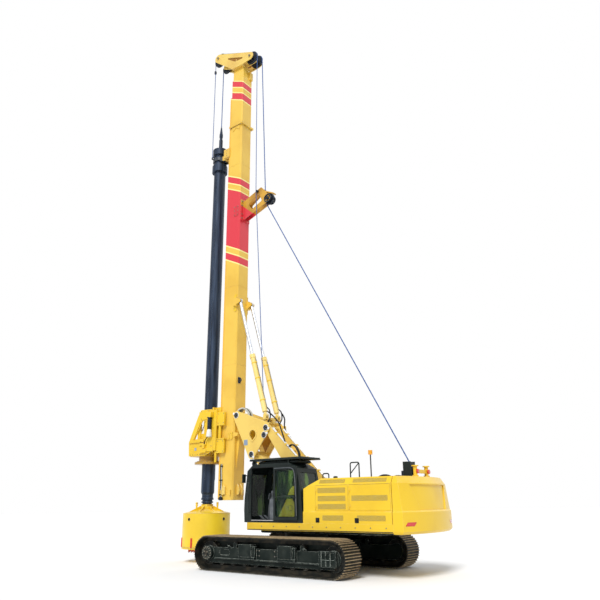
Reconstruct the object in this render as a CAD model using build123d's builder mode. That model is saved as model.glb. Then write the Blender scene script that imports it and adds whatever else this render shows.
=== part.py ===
from build123d import *
from math import acos, atan2, cos, degrees, hypot, pi, radians, sin, sqrt
import os

os.makedirs("parts", exist_ok=True)

# Axes: X forward to the mast, Y to the operator's left, Z up, in millimetres.
SLEW_X = -410            # slew axis, so that the part is centred on its bounds
SEAT = 0.3               # gap of pieces that rest on each other
FIT = 0.05               # radial running fit of rods and pins
GAP = 6                  # gap round doors and between moving pieces
SLIDE = 0.5              # play of guide shoes and of the kelly's bearing

# Crawlers
GAUGE = 3350             # centre to centre, extended
SHOE_WIDTH = 750
WHEELBASE = 4500
SHOE_R = 450             # outer face of the shoe plates round the wheels
SHOE_THICK = 22
GROUSER = 35
CHAIN_R = 320            # running face of the chain rails
RAIL_Y, RAIL_W = 100, 50
SHOES = 54
AXLE_Z = SHOE_R + GROUSER
FRAME_Y, FRAME_T = 165, 30
ROLLER_R, ROLLERS = 100, 9
CARRIER_R = 70
BEAM_X, BEAM_W = 720, 480
BEAM_Z0, BEAM_Z1 = 430, 760
CARBODY_Y = 740

# House
DECK_Z0, DECK_Z1 = 1120, 1330
HALF_W = 1480
DECK_FRONT, DECK_REAR = 1250, -3800
TAIL_R = 4350
HOOD_TOP = 2510
HOOD_FRONT, HOOD_REAR = -975, -3780
HOOD_IN = 620            # inner side of the two hoods
WALL = 40
BAND, BAND_TOP = 30, 1620            # step of the lower band out of the side
BEVEL_Z, BEVEL_IN = 2330, 110        # bevel between side and roof
DOOR_Z0, DOOR_Z1 = BAND_TOP + 35, BEVEL_Z - 15
DOOR_Y = HALF_W - BAND               # outer face of the hood doors
HINGE_R, KNUCKLE = 14, 50
HINGE_OUT = 15                       # hinge axis outside the panel

# Cab
CAB_Y0 = 500
CAB_ROOF = 2985
CAB_WALL = 50
CAB_MID = (CAB_Y0 + HALF_W) / 2
CAB_FLOOR = DECK_Z1 + SEAT + CAB_WALL
SILL_Z, HEAD_Z = 1500, CAB_ROOF - 285          # front and rear windows
DOORWAY_Z0, DOORWAY_Z1 = 1400, CAB_ROOF - 105
DOOR_REAR, DOOR_FRONT = 90, 960
PANE = 6

# Linkage, in the side view, X from the slew axis
BOOM_FOOT = (0, 1520)
BOOM_TIP = (1960, 3400)
BOOM_BELLY = (900, 2480)
LINK_TIP = (1350, 4230)
LINK_FOOT = (BOOM_FOOT[0] + LINK_TIP[0] - BOOM_TIP[0], BOOM_FOOT[1] + LINK_TIP[1] - BOOM_TIP[1])
MAST_PIN = (2680, 4750)
LUFF_FOOT = (960, 1500)
LUFF_EYE = (1390, 2700)
LUFF_Y = 330
PLATE_Y, PLATE_T = 340, 40
PIN_R = 60
HUB_GAP = 5              # side gap of a hub between its plates

# Mast
MAST_REAR, MAST_SIZE = 2850, 600
MAST_FRONT, MAST_HALF = MAST_REAR + MAST_SIZE, MAST_SIZE / 2
MAST_WALL = 16
MAST_CHAMFER = 45
MAST_Z0, MAST_JOINT = 1970, 16800
NECK_Z0, NECK_Z1 = 19150, 19800      # the box tapers to the head
RAIL_DEPTH, RAIL_WIDTH = 80, 60
RAIL_TOP = NECK_Z0 - 850
MCYL_FOOT = (1400, 4640)
MCYL_EYE = (2690, 8950)
MCYL_Y = 310
CARRIER_Z = MCYL_FOOT[1] - 110
CROSS_R = 115

# Kelly, rotary drive and bucket
KELLY_X = 4330
KELLY_R = 232
KELLY_BORE = 130
KELLY_Z0, KELLY_Z1 = 2150, 15070
ROTARY_Z0 = 3190
ROTARY_Y, ROTARY_T = 420, 30
CARRIAGE_X = MAST_FRONT + 270
CARRIAGE_Z0, CARRIAGE_Z1 = 3600, 5120
CROWD_X = MAST_FRONT + 170
GUIDE_Z = 15620
BUCKET_R, BUCKET_WALL = 815, 20
BUCKET_Z0, BUCKET_Z1 = 480, 1560
ROOF_RISE, ROOF_T = 140, 30
COLLAR_Z1 = 1850
STUB = 200               # square kelly stub
FLOOR_T = 50


def side_plane(y):
    """Sketch plane in the side view at y: sketch x is X from the slew axis, sketch y is Z."""
    return Plane(origin=(SLEW_X, y, 0), x_dir=(1, 0, 0), z_dir=(0, -1, 0))


def save(part, name):
    part.label = name
    export_step(part, f"parts/{name}.step")


def box(x0, x1, y0, y1, z0, z1, mode=Mode.ADD):
    """Box between limits, X from the slew axis, in the running BuildPart."""
    with Locations((SLEW_X + (x0 + x1) / 2, (y0 + y1) / 2, (z0 + z1) / 2)):
        Box(abs(x1 - x0), abs(y1 - y0), abs(z1 - z0), mode=mode)


def rod_x(x0, x1, y, z, r, mode=Mode.ADD):
    """Cylinder along X."""
    with Locations(Location((SLEW_X + (x0 + x1) / 2, y, z), (0, 90, 0))):
        Cylinder(r, x1 - x0, mode=mode)


def rod_y(x, z, y0, y1, r, mode=Mode.ADD):
    """Cylinder along Y."""
    with Locations(Location((SLEW_X + x, (y0 + y1) / 2, z), (90, 0, 0))):
        Cylinder(r, abs(y1 - y0), mode=mode)


def rod_z(x, y, z0, z1, r, mode=Mode.ADD):
    """Cylinder along Z."""
    with Locations((SLEW_X + x, y, (z0 + z1) / 2)):
        Cylinder(r, z1 - z0, mode=mode)


def rod_between(p, q, y, r, mode=Mode.ADD):
    """Cylinder between two side-view points at y."""
    length = hypot(q[0] - p[0], q[1] - p[1])
    lean = degrees(atan2(q[0] - p[0], q[1] - p[1]))
    middle = (SLEW_X + (p[0] + q[0]) / 2, y, (p[1] + q[1]) / 2)
    with Locations(Location(middle, (0, lean, 0))):
        Cylinder(r, length, mode=mode)


def plate(points, y0, y1, mode=Mode.ADD, inset=0):
    """Side-view polygon between y0 and y1, its outline set in by inset."""
    with BuildSketch(side_plane((y0 + y1) / 2)) as profile:
        with BuildLine():
            Polyline(*points, close=True)
        make_face()
        if inset:
            offset(amount=-inset, kind=Kind.INTERSECTION, mode=Mode.REPLACE)
    extrude(profile.sketch, amount=abs(y1 - y0) / 2, both=True, mode=mode)


def hull_plate(circles, y0, y1, mode=Mode.ADD):
    """Plate that wraps side-view circles (x, z, r), listed in turn round the plate."""
    with BuildSketch(side_plane((y0 + y1) / 2)) as profile:
        for (x0, z0, r0), (x1, z1, r1) in zip(circles, circles[1:] + circles[:1]):
            turn, half = atan2(z1 - z0, x1 - x0), acos((r0 - r1) / hypot(x1 - x0, z1 - z0))
            with BuildLine():
                Polyline(
                    (x0 + r0 * cos(turn + half), z0 + r0 * sin(turn + half)),
                    (x1 + r1 * cos(turn + half), z1 + r1 * sin(turn + half)),
                    (x1 + r1 * cos(turn - half), z1 + r1 * sin(turn - half)),
                    (x0 + r0 * cos(turn - half), z0 + r0 * sin(turn - half)),
                    close=True,
                )
            make_face()
            with Locations((x0, z0)):
                Circle(r0)
        if len(circles) > 2:
            with BuildLine():
                Polyline(*[(x, z) for x, z, _ in circles], close=True)
            make_face()
    extrude(profile.sketch, amount=abs(y1 - y0) / 2, both=True, mode=mode)


def along(p, q, share, aside=0):
    """Point between two side-view points, set aside to the right of the way from p to q."""
    length = hypot(q[0] - p[0], q[1] - p[1])
    ux, uz = (q[0] - p[0]) / length, (q[1] - p[1]) / length
    return (p[0] + ux * length * share + uz * aside, p[1] + uz * length * share - ux * aside)


def loop_point(s, out):
    """Point at s along the track loop of radius SHOE_R, out from it."""
    arc = pi * SHOE_R
    s = s % (2 * WHEELBASE + 2 * arc)
    r, half = SHOE_R + out, WHEELBASE / 2
    if s < WHEELBASE:
        return (half - s, AXLE_Z + r)
    s -= WHEELBASE
    if s < arc:
        a = pi / 2 + s / SHOE_R
        return (-half + r * cos(a), AXLE_Z + r * sin(a))
    s -= arc
    if s < WHEELBASE:
        return (-half + s, AXLE_Z - r)
    a = -pi / 2 + (s - WHEELBASE) / SHOE_R
    return (half + r * cos(a), AXLE_Z + r * sin(a))


# Tracks: one closed loop each, three grouser ridges to a shoe, as (share of the shoe, height)
PITCH = (2 * WHEELBASE + 2 * pi * SHOE_R) / SHOES
RIDGE = ((0.12, 0), (0.19, 1), (0.26, 0), (0.44, 0), (0.51, 1), (0.58, 0), (0.76, 0), (0.83, 1), (0.90, 0))
outline = [
    loop_point((shoe + share) * PITCH, tip * GROUSER) for shoe in range(SHOES) for share, tip in RIDGE
]
CHAIN_BITE = 4           # chain rails sunk into the shoes they carry
WHEEL_R = CHAIN_R - SEAT
ROLLER_Z = AXLE_Z - CHAIN_R + ROLLER_R + SEAT
CARRIER_TOP_Z = AXLE_Z + CHAIN_R - CARRIER_R - SEAT
ROLLER_STEP = (WHEELBASE - 1000) / (ROLLERS - 1)
CARRIERS = (-BEAM_X - 500, BEAM_X + 500)
TEETH = 13
FRAME_TOP = CARRIER_TOP_Z - CARRIER_R - 20
BEAM_END = GAUGE / 2 + SHOE_WIDTH / 2 - 40
for side, name in ((1, "left"), (-1, "right")):
    y = side * GAUGE / 2
    with BuildPart() as track:
        with BuildSketch(side_plane(y)):
            with BuildLine():
                Polyline(*outline, close=True)
            make_face()
            with Locations((0, AXLE_Z)):
                SlotCenterToCenter(WHEELBASE, 2 * (SHOE_R - SHOE_THICK), mode=Mode.SUBTRACT)
        extrude(amount=SHOE_WIDTH / 2, both=True)
        for rail in (-RAIL_Y, RAIL_Y):
            with BuildSketch(side_plane(y + rail)):
                with Locations((0, AXLE_Z)):
                    SlotCenterToCenter(WHEELBASE, 2 * (SHOE_R - SHOE_THICK) + CHAIN_BITE)
                    SlotCenterToCenter(WHEELBASE, 2 * CHAIN_R, mode=Mode.SUBTRACT)
            extrude(amount=RAIL_W / 2, both=True)
    save(track.part, f"track_{name}")

    # Wheels: sprocket in front, idler at the rear, rollers below, carriers above
    axle = FRAME_Y - SEAT
    with BuildPart() as wheels:
        rod_y(WHEELBASE / 2, AXLE_Z, y - axle, y + axle, WHEEL_R)
        with Locations(Location((SLEW_X + WHEELBASE / 2, y, AXLE_Z), (90, 0, 0))):
            with PolarLocations(WHEEL_R + 15, TEETH):
                Box(60, 40, 2 * RAIL_Y - RAIL_W - 2 * GAP)
        rod_y(-WHEELBASE / 2, AXLE_Z, y - axle, y + axle, WHEEL_R)
        rod_y(-WHEELBASE / 2, AXLE_Z, y - 60, y + 60, WHEEL_R + 45)
        for k in range(ROLLERS):
            rod_y((k - (ROLLERS - 1) / 2) * ROLLER_STEP, ROLLER_Z, y - axle, y + axle, ROLLER_R)
        for x in CARRIERS:
            rod_y(x, CARRIER_TOP_Z, y - axle, y + axle, CARRIER_R)
    save(wheels.part, f"wheels_{name}")

    # Frame: side plates, the box between them, lateral beams, final drive and idler guard
    face = y + side * (FRAME_Y + FRAME_T)
    with BuildPart() as frame:
        for edge in (-1, 1):
            with BuildSketch(side_plane(y + edge * (FRAME_Y + FRAME_T / 2))):
                for x in (-WHEELBASE / 2, WHEELBASE / 2):
                    with Locations((x, AXLE_Z)):
                        Circle(210)
                with Locations((0, (ROLLER_Z - 40 + FRAME_TOP) / 2)):
                    Rectangle(WHEELBASE, FRAME_TOP - ROLLER_Z + 40)
                for x in CARRIERS:
                    with Locations((x, CARRIER_TOP_Z - 30)):
                        Rectangle(120, 2 * CARRIER_R)
            extrude(amount=FRAME_T / 2, both=True)
        half = WHEELBASE / 2 - WHEEL_R - 60
        box(-half, half, y - FRAME_Y, y + FRAME_Y, ROLLER_Z + ROLLER_R + 10, FRAME_TOP)
        for x in (-BEAM_X, BEAM_X):
            box(x - BEAM_W / 2, x + BEAM_W / 2, side * (CARBODY_Y - 170), side * BEAM_END, BEAM_Z0, BEAM_Z1)
            # Foot and rear rib of the raised beam end, stepped down to the lip
            box(x - BEAM_W / 2 - 90, x - BEAM_W / 2, face, face + side * 90, BEAM_Z0 - 60, BEAM_Z1 - 40)
            box(x - BEAM_W / 2 - 90, x + BEAM_W / 2, face, face + side * 120, BEAM_Z0 - 60, BEAM_Z0)
        box(-half - 100, half + 100, face, face + side * 60, ROLLER_Z + 70, ROLLER_Z + 95)
        rod_y(WHEELBASE / 2, AXLE_Z, face, y + side * (SHOE_WIDTH / 2 - 60), 190)
        rod_y(WHEELBASE / 2, AXLE_Z, face, y + side * (SHOE_WIDTH / 2 - 30), 130)
        guard = face + side * 90
        box(-WHEELBASE / 2 - 120, -WHEELBASE / 2 + 420, face, guard, AXLE_Z - 190, AXLE_Z + 190)
        recess_x = (-WHEELBASE / 2 - 60, -WHEELBASE / 2 + 360)
        box(*recess_x, guard - side * 25, guard, AXLE_Z - 20, AXLE_Z + 150, Mode.SUBTRACT)
        hole_x = WHEELBASE / 2 - 620
        with BuildSketch(side_plane(face)) as recess:
            with Locations((hole_x, AXLE_Z + 30)):
                SlotOverall(420, 150)
        extrude(recess.sketch, amount=20, both=True, mode=Mode.SUBTRACT)
    save(frame.part, f"track_frame_{name}")

# Car body: centre box, sleeves for the lateral beams and the fixed slew ring
RING_Z0 = 900
RING_R = 640
with BuildPart() as car_body:
    box(-BEAM_X - 330, BEAM_X + 330, -CARBODY_Y, CARBODY_Y, BEAM_Z0 - 60, BEAM_Z1 + 60)
    with BuildSketch(Plane.XY.offset(BEAM_Z1 + 60)):
        with Locations((SLEW_X, 0)):
            RegularPolygon(RING_R + 70, 8, rotation=22.5)
    extrude(amount=RING_Z0 - BEAM_Z1 - 60)
    for x in (-BEAM_X, BEAM_X):
        half = BEAM_W / 2 + FIT
        box(x - half, x + half, -CARBODY_Y, CARBODY_Y, BEAM_Z0 - FIT, BEAM_Z1 + FIT, Mode.SUBTRACT)
save(car_body.part, "car_body")
with BuildPart() as slew_ring:
    rod_z(0, 0, RING_Z0, RING_Z0 + 110, RING_R)
    rod_z(0, 0, RING_Z0 + 110, DECK_Z0 - SEAT, RING_R - 60)
save(slew_ring.part, "slew_ring")

# Deck with cut front corners
CORNER = 150
with BuildPart() as deck:
    with BuildSketch(Plane.XY.offset(DECK_Z0)):
        with BuildLine():
            Polyline(
                (SLEW_X + DECK_FRONT - CORNER, -HALF_W),
                (SLEW_X + DECK_FRONT, -HALF_W + CORNER),
                (SLEW_X + DECK_FRONT, HALF_W - CORNER),
                (SLEW_X + DECK_FRONT - CORNER, HALF_W),
                (SLEW_X + DECK_REAR, HALF_W),
                (SLEW_X + DECK_REAR, -HALF_W),
                close=True,
            )
        make_face()
    extrude(amount=DECK_Z1 - DECK_Z0)
save(deck.part, "deck")

# Boom support: two cheeks on the deck that hold boom, link and luffing cylinders
LUFF_PIN_R = 40
LUFF_SIDE = 75           # inner face of the lugs beside a luffing cylinder
with BuildPart() as boom_support:
    for side in (-1, 1):
        cheek = ((*BOOM_FOOT, 150), (*LINK_FOOT, 130), (-900, DECK_Z1 + 140, 140))
        hull_plate(cheek, side * PLATE_Y, side * (PLATE_Y + PLATE_T))
        for edge in (-1, 1):
            lug = side * LUFF_Y + edge * LUFF_SIDE
            foot = (LUFF_FOOT[0], DECK_Z1 + 60, 110)
            hull_plate(((*LUFF_FOOT, 110), foot), lug, lug + edge * 30)
        rod_y(*LUFF_FOOT, side * LUFF_Y - LUFF_SIDE, side * LUFF_Y + LUFF_SIDE, LUFF_PIN_R)
    rod_y(*BOOM_FOOT, -PLATE_Y, PLATE_Y, PIN_R)
    rod_y(*LINK_FOOT, -PLATE_Y, PLATE_Y, PIN_R)
    box(-2000, 2000, -700, 700, DECK_Z0, DECK_Z1, Mode.SUBTRACT)
save(boom_support.part, "boom_support")


# Hoods on both sides, hollow, with a lower band, a bevelled roof edge and two doors each
def hood_block(side, inset, mode=Mode.ADD):
    """Hood extruded along X and cut by its front slope, every face set in by inset."""
    profile = (
        (side * HOOD_IN, DECK_Z1),
        (side * HOOD_IN, HOOD_TOP),
        (side * (DOOR_Y - BEVEL_IN), HOOD_TOP),
        (side * DOOR_Y, BEVEL_Z),
        (side * DOOR_Y, BAND_TOP + BAND),
        (side * HALF_W, BAND_TOP),
        (side * HALF_W, DECK_Z1),
    )
    with BuildPart(mode=Mode.PRIVATE) as block:
        with BuildSketch(Plane(origin=(SLEW_X + HOOD_REAR + inset, 0, 0), x_dir=(0, 1, 0), z_dir=(1, 0, 0))):
            with BuildLine():
                Polyline(*profile, close=True)
            make_face()
            if inset:
                offset(amount=-inset, kind=Kind.INTERSECTION, mode=Mode.REPLACE)
        extrude(amount=HOOD_FRONT - HOOD_REAR - 2 * inset)
        front = HOOD_FRONT - inset
        slope = (
            (front - 540, HOOD_TOP - inset), (front, HOOD_TOP - 270 - inset),
            (front + 100, HOOD_TOP - 270 - inset), (front + 100, HOOD_TOP + 100),
            (front - 540, HOOD_TOP + 100),
        )
        plate(slope, side * (HOOD_IN - 100), side * (HALF_W + 100), Mode.SUBTRACT)
    return block.part


DOORS = (("front", -1400, -2455), ("rear", -2505, -3740))
HINGE_Z = (DOOR_Z0 + 100, DOOR_Z1 - 150)
LOUVRES = {"front": (0.72, 0.40, 0.08), "rear": (0.40,)}    # door end: heights of bands of slots
SLOT, SLOT_STEP = 20, 42
for side, name in ((1, "left"), (-1, "right")):
    with BuildPart() as hood:
        add(hood_block(side, 0))
        add(hood_block(side, WALL), mode=Mode.SUBTRACT)
        for _, front, rear in DOORS:
            w0, w1 = side * (DOOR_Y - WALL - 1), side * (DOOR_Y + 1)
            box(rear - GAP, front + GAP, w0, w1, DOOR_Z0 - GAP, DOOR_Z1 + GAP, Mode.SUBTRACT)
            b0, b1 = side * (HALF_W - WALL - 1), side * (HALF_W + 1)
            for k in range(3):
                z = DECK_Z1 + 90 + SLOT_STEP * k
                box(rear + 160, front - 260, b0, b1, z, z + SLOT, Mode.SUBTRACT)
                z = BEVEL_Z + 50 + 35 * k
                in_y, out_y = side * (DOOR_Y - BEVEL_IN - 60), side * DOOR_Y
                box(rear + 120, front - 120, in_y, out_y, z, z + 14, Mode.SUBTRACT)
            for z in HINGE_Z:
                rod_z(front + GAP / 2, side * (DOOR_Y + HINGE_OUT), z - KNUCKLE, z, HINGE_R)
                arm = (side * (DOOR_Y - 10), side * (DOOR_Y + HINGE_OUT))
                box(front + GAP, front + 20, *arm, z - KNUCKLE, z)
    save(hood.part, f"hood_{name}")
    for end, front, rear in DOORS:
        with BuildPart() as door:
            box(rear, front, side * (DOOR_Y - WALL), side * DOOR_Y, DOOR_Z0, DOOR_Z1)
            w0, w1 = side * (DOOR_Y - WALL - 1), side * (DOOR_Y + 1)
            for share in LOUVRES[end]:
                for k in range(3):
                    z = DOOR_Z0 + share * (DOOR_Z1 - DOOR_Z0) + SLOT_STEP * k
                    box(rear + 90, front - 90, w0, w1, z, z + SLOT, Mode.SUBTRACT)
            for z in HINGE_Z:
                rod_z(front + GAP / 2, side * (DOOR_Y + HINGE_OUT), z + SEAT, z + KNUCKLE, HINGE_R)
                arm = (side * (DOOR_Y - 4), side * (DOOR_Y + HINGE_OUT))
                box(front - 40, front, *arm, z + SEAT, z + KNUCKLE)
        save(door.part, f"hood_door_{end}_{name}")

# Engine and tank as plain blocks
with BuildPart() as engine:
    box(-3300, -1650, -(DOOR_Y - WALL - 60), -(HOOD_IN + WALL + 60), DECK_Z1 + WALL + SEAT, HOOD_TOP - 260)
save(engine.part, "engine")
with BuildPart() as tank:
    box(-2330, -1250, -HOOD_IN + 10, HOOD_IN - 10, DECK_Z1 + SEAT, HOOD_TOP - 210)
save(tank.part, "hydraulic_tank")

# Counterweight: height, inset of the round rear, inset of the sides
CW_FRONT = DECK_REAR - SEAT
CW_Z0 = DECK_Z0 - 30
TAIL = (
    (CW_Z0, 60, 20),
    (CW_Z0 + 60, 0, 0),
    (BAND_TOP, 0, 0),
    (BAND_TOP + BAND, BAND, BAND),
    (BEVEL_Z, 110, BAND),
    (HOOD_TOP, 230, BAND + BEVEL_IN),
)
PANEL_DEPTH = 35
LAMP_Y, LAMP_Z = 1270, 1330


def tail_loft(depth, mode=Mode.ADD):
    """Counterweight lofted through its plan sections, the round rear set in by depth."""
    sections = []
    for z, rear, beside in TAIL:
        r, half = TAIL_R - rear - depth, HALF_W - beside
        corner = sqrt(r**2 - half**2)
        with BuildSketch(Plane.XY.offset(z)) as section:
            with BuildLine():
                ThreePointArc((SLEW_X - corner, half), (SLEW_X - r, 0), (SLEW_X - corner, -half))
                Polyline(
                    (SLEW_X - corner, -half), (SLEW_X + CW_FRONT, -half),
                    (SLEW_X + CW_FRONT, half), (SLEW_X - corner, half),
                )
            make_face()
        sections.append(section.sketch)
    loft(sections, ruled=True, mode=mode)


with BuildPart() as panel:
    with BuildSketch(Plane(origin=(SLEW_X - TAIL_R - 100, 0, 0), x_dir=(0, 1, 0), z_dir=(1, 0, 0))):
        with BuildLine():
            low = BAND_TOP + BAND + 10
            Polyline((-760, low), (760, low), (1060, 2300), (-1060, 2300), close=True)
        make_face()
    extrude(amount=TAIL_R)
    tail_loft(PANEL_DEPTH, Mode.SUBTRACT)


def lamp_blocks(grow, depth, out):
    """Slanted lamp shapes on both rear corners, grown by a clearance."""
    for side in (-1, 1):
        turn = 180 - side * degrees(atan2(LAMP_Y, TAIL_R))
        x, y = SLEW_X + TAIL_R * cos(radians(turn)), TAIL_R * sin(radians(turn))
        place = Location((x, y, LAMP_Z), (0, 0, turn))
        face = Plane(place * Location(Plane(origin=(-depth, 0, 0), x_dir=(0, 1, 0), z_dir=(1, 0, 0))))
        with BuildSketch(face) as lamp:
            with BuildLine():
                h = 45 + grow
                Polyline(
                    (-160 - grow - side * 40, -h), (160 + grow - side * 40, -h),
                    (160 + grow + side * 40, h), (-160 - grow + side * 40, h), close=True,
                )
            make_face()
        extrude(lamp.sketch, amount=depth + out)


with BuildPart() as lamp_pocket:
    lamp_blocks(SEAT, 40, 60)
with BuildPart() as counterweight:
    tail_loft(0)
    add(panel.part, mode=Mode.SUBTRACT)
    add(lamp_pocket.part, mode=Mode.SUBTRACT)
save(counterweight.part, "counterweight")
with BuildPart() as tail_lamps:
    lamp_blocks(0, 40 - SEAT, 4)
save(tail_lamps.part, "tail_lamps")

# Main winch in the channel between the hoods
WINCH = (-3030, 2160)
WINCH_HALF = 450
with BuildPart() as winch:
    rod_y(*WINCH, -WINCH_HALF + 50, WINCH_HALF - 50, 300)
    for side in (-1, 1):
        rod_y(*WINCH, side * (WINCH_HALF - 80), side * (WINCH_HALF - 50), 440)
        stand = (
            (WINCH[0] - 370, DECK_Z1 + SEAT), (WINCH[0] + 380, DECK_Z1 + SEAT),
            (WINCH[0] + 180, WINCH[1] + 90), (WINCH[0] - 170, WINCH[1] + 90),
        )
        plate(stand, side * (WINCH_HALF - 40), side * WINCH_HALF)
    rod_y(*WINCH, -WINCH_HALF, WINCH_HALF, 90)
save(winch.part, "main_winch")

# Cab: shell with leaning front and rear, and its two side walls
CAB_LINE = (
    (-950, DECK_Z1 + SEAT), (-900, CAB_ROOF - 785), (-770, CAB_ROOF - 165), (-450, CAB_ROOF), (900, CAB_ROOF),
    (1130, CAB_ROOF - 185), (1230, CAB_ROOF - 985), (1240, CAB_ROOF - 1295), (1220, DECK_Z1 + SEAT),
)
QUARTER = (-700, -60, 1900, HEAD_Z + 50)        # side windows: rear, front, bottom, top
RIGHT = (-700, 960, 1800, HEAD_Z + 50)
FRONT_IN, REAR_IN = 80, 100                     # posts beside the front and rear windows
ROOF_WINDOW = (-150, 650)
CAB_HINGES = (DOORWAY_Z0 + 200, DOORWAY_Z1 - 300)
HINGE_Y = HALF_W + 20
LEFT_WALL, RIGHT_WALL = HALF_W - CAB_WALL, CAB_Y0 + CAB_WALL     # inner faces of the side walls
with BuildPart() as cab:
    plate(CAB_LINE, RIGHT_WALL + SEAT, LEFT_WALL - SEAT)
    plate(CAB_LINE, RIGHT_WALL, LEFT_WALL, Mode.SUBTRACT, inset=CAB_WALL)
    box(1000, 1300, CAB_Y0 + FRONT_IN, HALF_W - FRONT_IN, SILL_Z, HEAD_Z, Mode.SUBTRACT)
    box(-1000, -700, CAB_Y0 + REAR_IN, HALF_W - REAR_IN, CAB_ROOF - 735, HEAD_Z, Mode.SUBTRACT)
    box(*ROOF_WINDOW, CAB_Y0 + 180, HALF_W - 180, CAB_ROOF - 60, CAB_ROOF + 1, Mode.SUBTRACT)
save(cab.part, "cab_shell")
with BuildPart() as left_wall:
    plate(CAB_LINE, LEFT_WALL, HALF_W)
    box(DOOR_REAR, DOOR_FRONT, HALF_W - 60, HALF_W + 1, DOORWAY_Z0, DOORWAY_Z1, Mode.SUBTRACT)
    box(QUARTER[0], QUARTER[1], HALF_W - 60, HALF_W + 1, QUARTER[2], QUARTER[3], Mode.SUBTRACT)
    for z in CAB_HINGES:
        rod_z(DOOR_REAR - 20, HINGE_Y, z - KNUCKLE, z, HINGE_R)
        box(DOOR_REAR - 34, DOOR_REAR - 6, HALF_W - 10, HINGE_Y, z - KNUCKLE, z)
save(left_wall.part, "cab_wall_left")
with BuildPart() as right_wall:
    plate(CAB_LINE, CAB_Y0, RIGHT_WALL)
    box(RIGHT[0], RIGHT[1], CAB_Y0 - 1, CAB_Y0 + 60, RIGHT[2], RIGHT[3], Mode.SUBTRACT)
save(right_wall.part, "cab_wall_right")


def front_x(z):
    """X of the cab's front face at z, above the bend of its front line."""
    (x0, z0), (x1, z1) = CAB_LINE[5], CAB_LINE[6]
    return x0 + (x1 - x0) * (z - z0) / (z1 - z0)


with BuildPart() as glass:
    side_pane = HALF_W - CAB_WALL + 20
    x0, x1, z0, z1 = QUARTER[0] + SEAT, QUARTER[1] - SEAT, QUARTER[2] + SEAT, QUARTER[3] - SEAT
    box(x0, x1, side_pane, side_pane + PANE, z0, z1)
    side_pane = CAB_Y0 + 20
    x0, x1, z0, z1 = RIGHT[0] + SEAT, RIGHT[1] - SEAT, RIGHT[2] + SEAT, RIGHT[3] - SEAT
    box(x0, x1, side_pane, side_pane + PANE, z0, z1)
    low, bend, high = SILL_Z + SEAT, CAB_LINE[6][1], HEAD_Z - SEAT
    pane = [(CAB_LINE[7][0] - 8, low), (CAB_LINE[6][0], bend), (front_x(high), high)]
    line = [(x - 20, z) for x, z in pane] + [(x - 20 - PANE, z) for x, z in reversed(pane)]
    plate(line, CAB_Y0 + FRONT_IN + SEAT, HALF_W - FRONT_IN - SEAT)
    low, high = CAB_ROOF - 735 + SEAT, HEAD_Z - SEAT
    (x0, z0), (x1, z1) = CAB_LINE[1], CAB_LINE[2]
    pane = [(x0 + (x1 - x0) * (z - z0) / (z1 - z0), z) for z in (low, high)]
    line = [(x + 20, z) for x, z in pane] + [(x + 20 + PANE, z) for x, z in reversed(pane)]
    plate(line, CAB_Y0 + REAR_IN + SEAT, HALF_W - REAR_IN - SEAT)
    x0, x1, roof_pane = ROOF_WINDOW[0] + SEAT, ROOF_WINDOW[1] - SEAT, CAB_ROOF - 30
    box(x0, x1, CAB_Y0 + 180 + SEAT, HALF_W - 180 - SEAT, roof_pane, roof_pane + PANE)
save(glass.part, "cab_glass")

# Guard plate over the cab on four posts
GUARD_Z = CAB_ROOF + 95
with BuildPart() as guard:
    box(-930, 1060, CAB_Y0 + 10, HALF_W - 10, GUARD_Z, GUARD_Z + 35)
    for x in (-430, 840):
        for y in (CAB_Y0 + 60, HALF_W - 100):
            box(x, x + 40, y, y + 40, CAB_ROOF + SEAT, GUARD_Z)
save(guard.part, "cab_guard")

# Cab door, stored folded back against the cab side
DOOR_W = DOOR_FRONT - DOOR_REAR
LEAF0, LEAF1 = DOOR_REAR - 26 - DOOR_W, DOOR_REAR - 46
LEAF_Y, LEAF_T, STILE = HINGE_Y + 6, 40, 70
PANE_Z0, PANE_Z1 = DOORWAY_Z0 + 90, DOORWAY_Z1 - 90
with BuildPart() as door:
    box(LEAF0, LEAF1, LEAF_Y, LEAF_Y + LEAF_T, DOORWAY_Z0 + GAP, DOORWAY_Z1 - GAP)
    box(LEAF0 + STILE, LEAF1 - STILE, LEAF_Y - 1, LEAF_Y + LEAF_T + 1, PANE_Z0, PANE_Z1, Mode.SUBTRACT)
    for z in CAB_HINGES:
        rod_z(DOOR_REAR - 20, HINGE_Y, z + SEAT, z + KNUCKLE, HINGE_R)
        box(LEAF1 - 30, DOOR_REAR - 20, LEAF_Y, LEAF_Y + 8, z + SEAT, z + KNUCKLE)
save(door.part, "cab_door")
with BuildPart() as door_glass:
    middle = LEAF_Y + LEAF_T / 2
    box(LEAF0 + STILE + SEAT, LEAF1 - STILE - SEAT, middle - 3, middle + 3, PANE_Z0 + SEAT, PANE_Z1 - SEAT)
save(door_glass.part, "cab_door_glass")

# Seat and consoles beside it
with BuildPart() as seat:
    box(-350, 250, CAB_MID - 180, CAB_MID + 180, CAB_FLOOR + SEAT, 1750)
    box(-350, 200, CAB_MID - 230, CAB_MID + 230, 1750, 1870)
    plate(((-350, 1800), (-240, 1800), (-330, 2500), (-430, 2500)), CAB_MID - 230, CAB_MID + 230)
save(seat.part, "seat")
with BuildPart() as console:
    for side in (-1, 1):
        inner, outer = CAB_MID + side * 280, CAB_MID + side * 360
        box(-150, 350, inner, outer, CAB_FLOOR + SEAT, 1980)
        rod_z(280, (inner + outer) / 2, 1980, 2140, 15)
save(console.part, "console")

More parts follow.
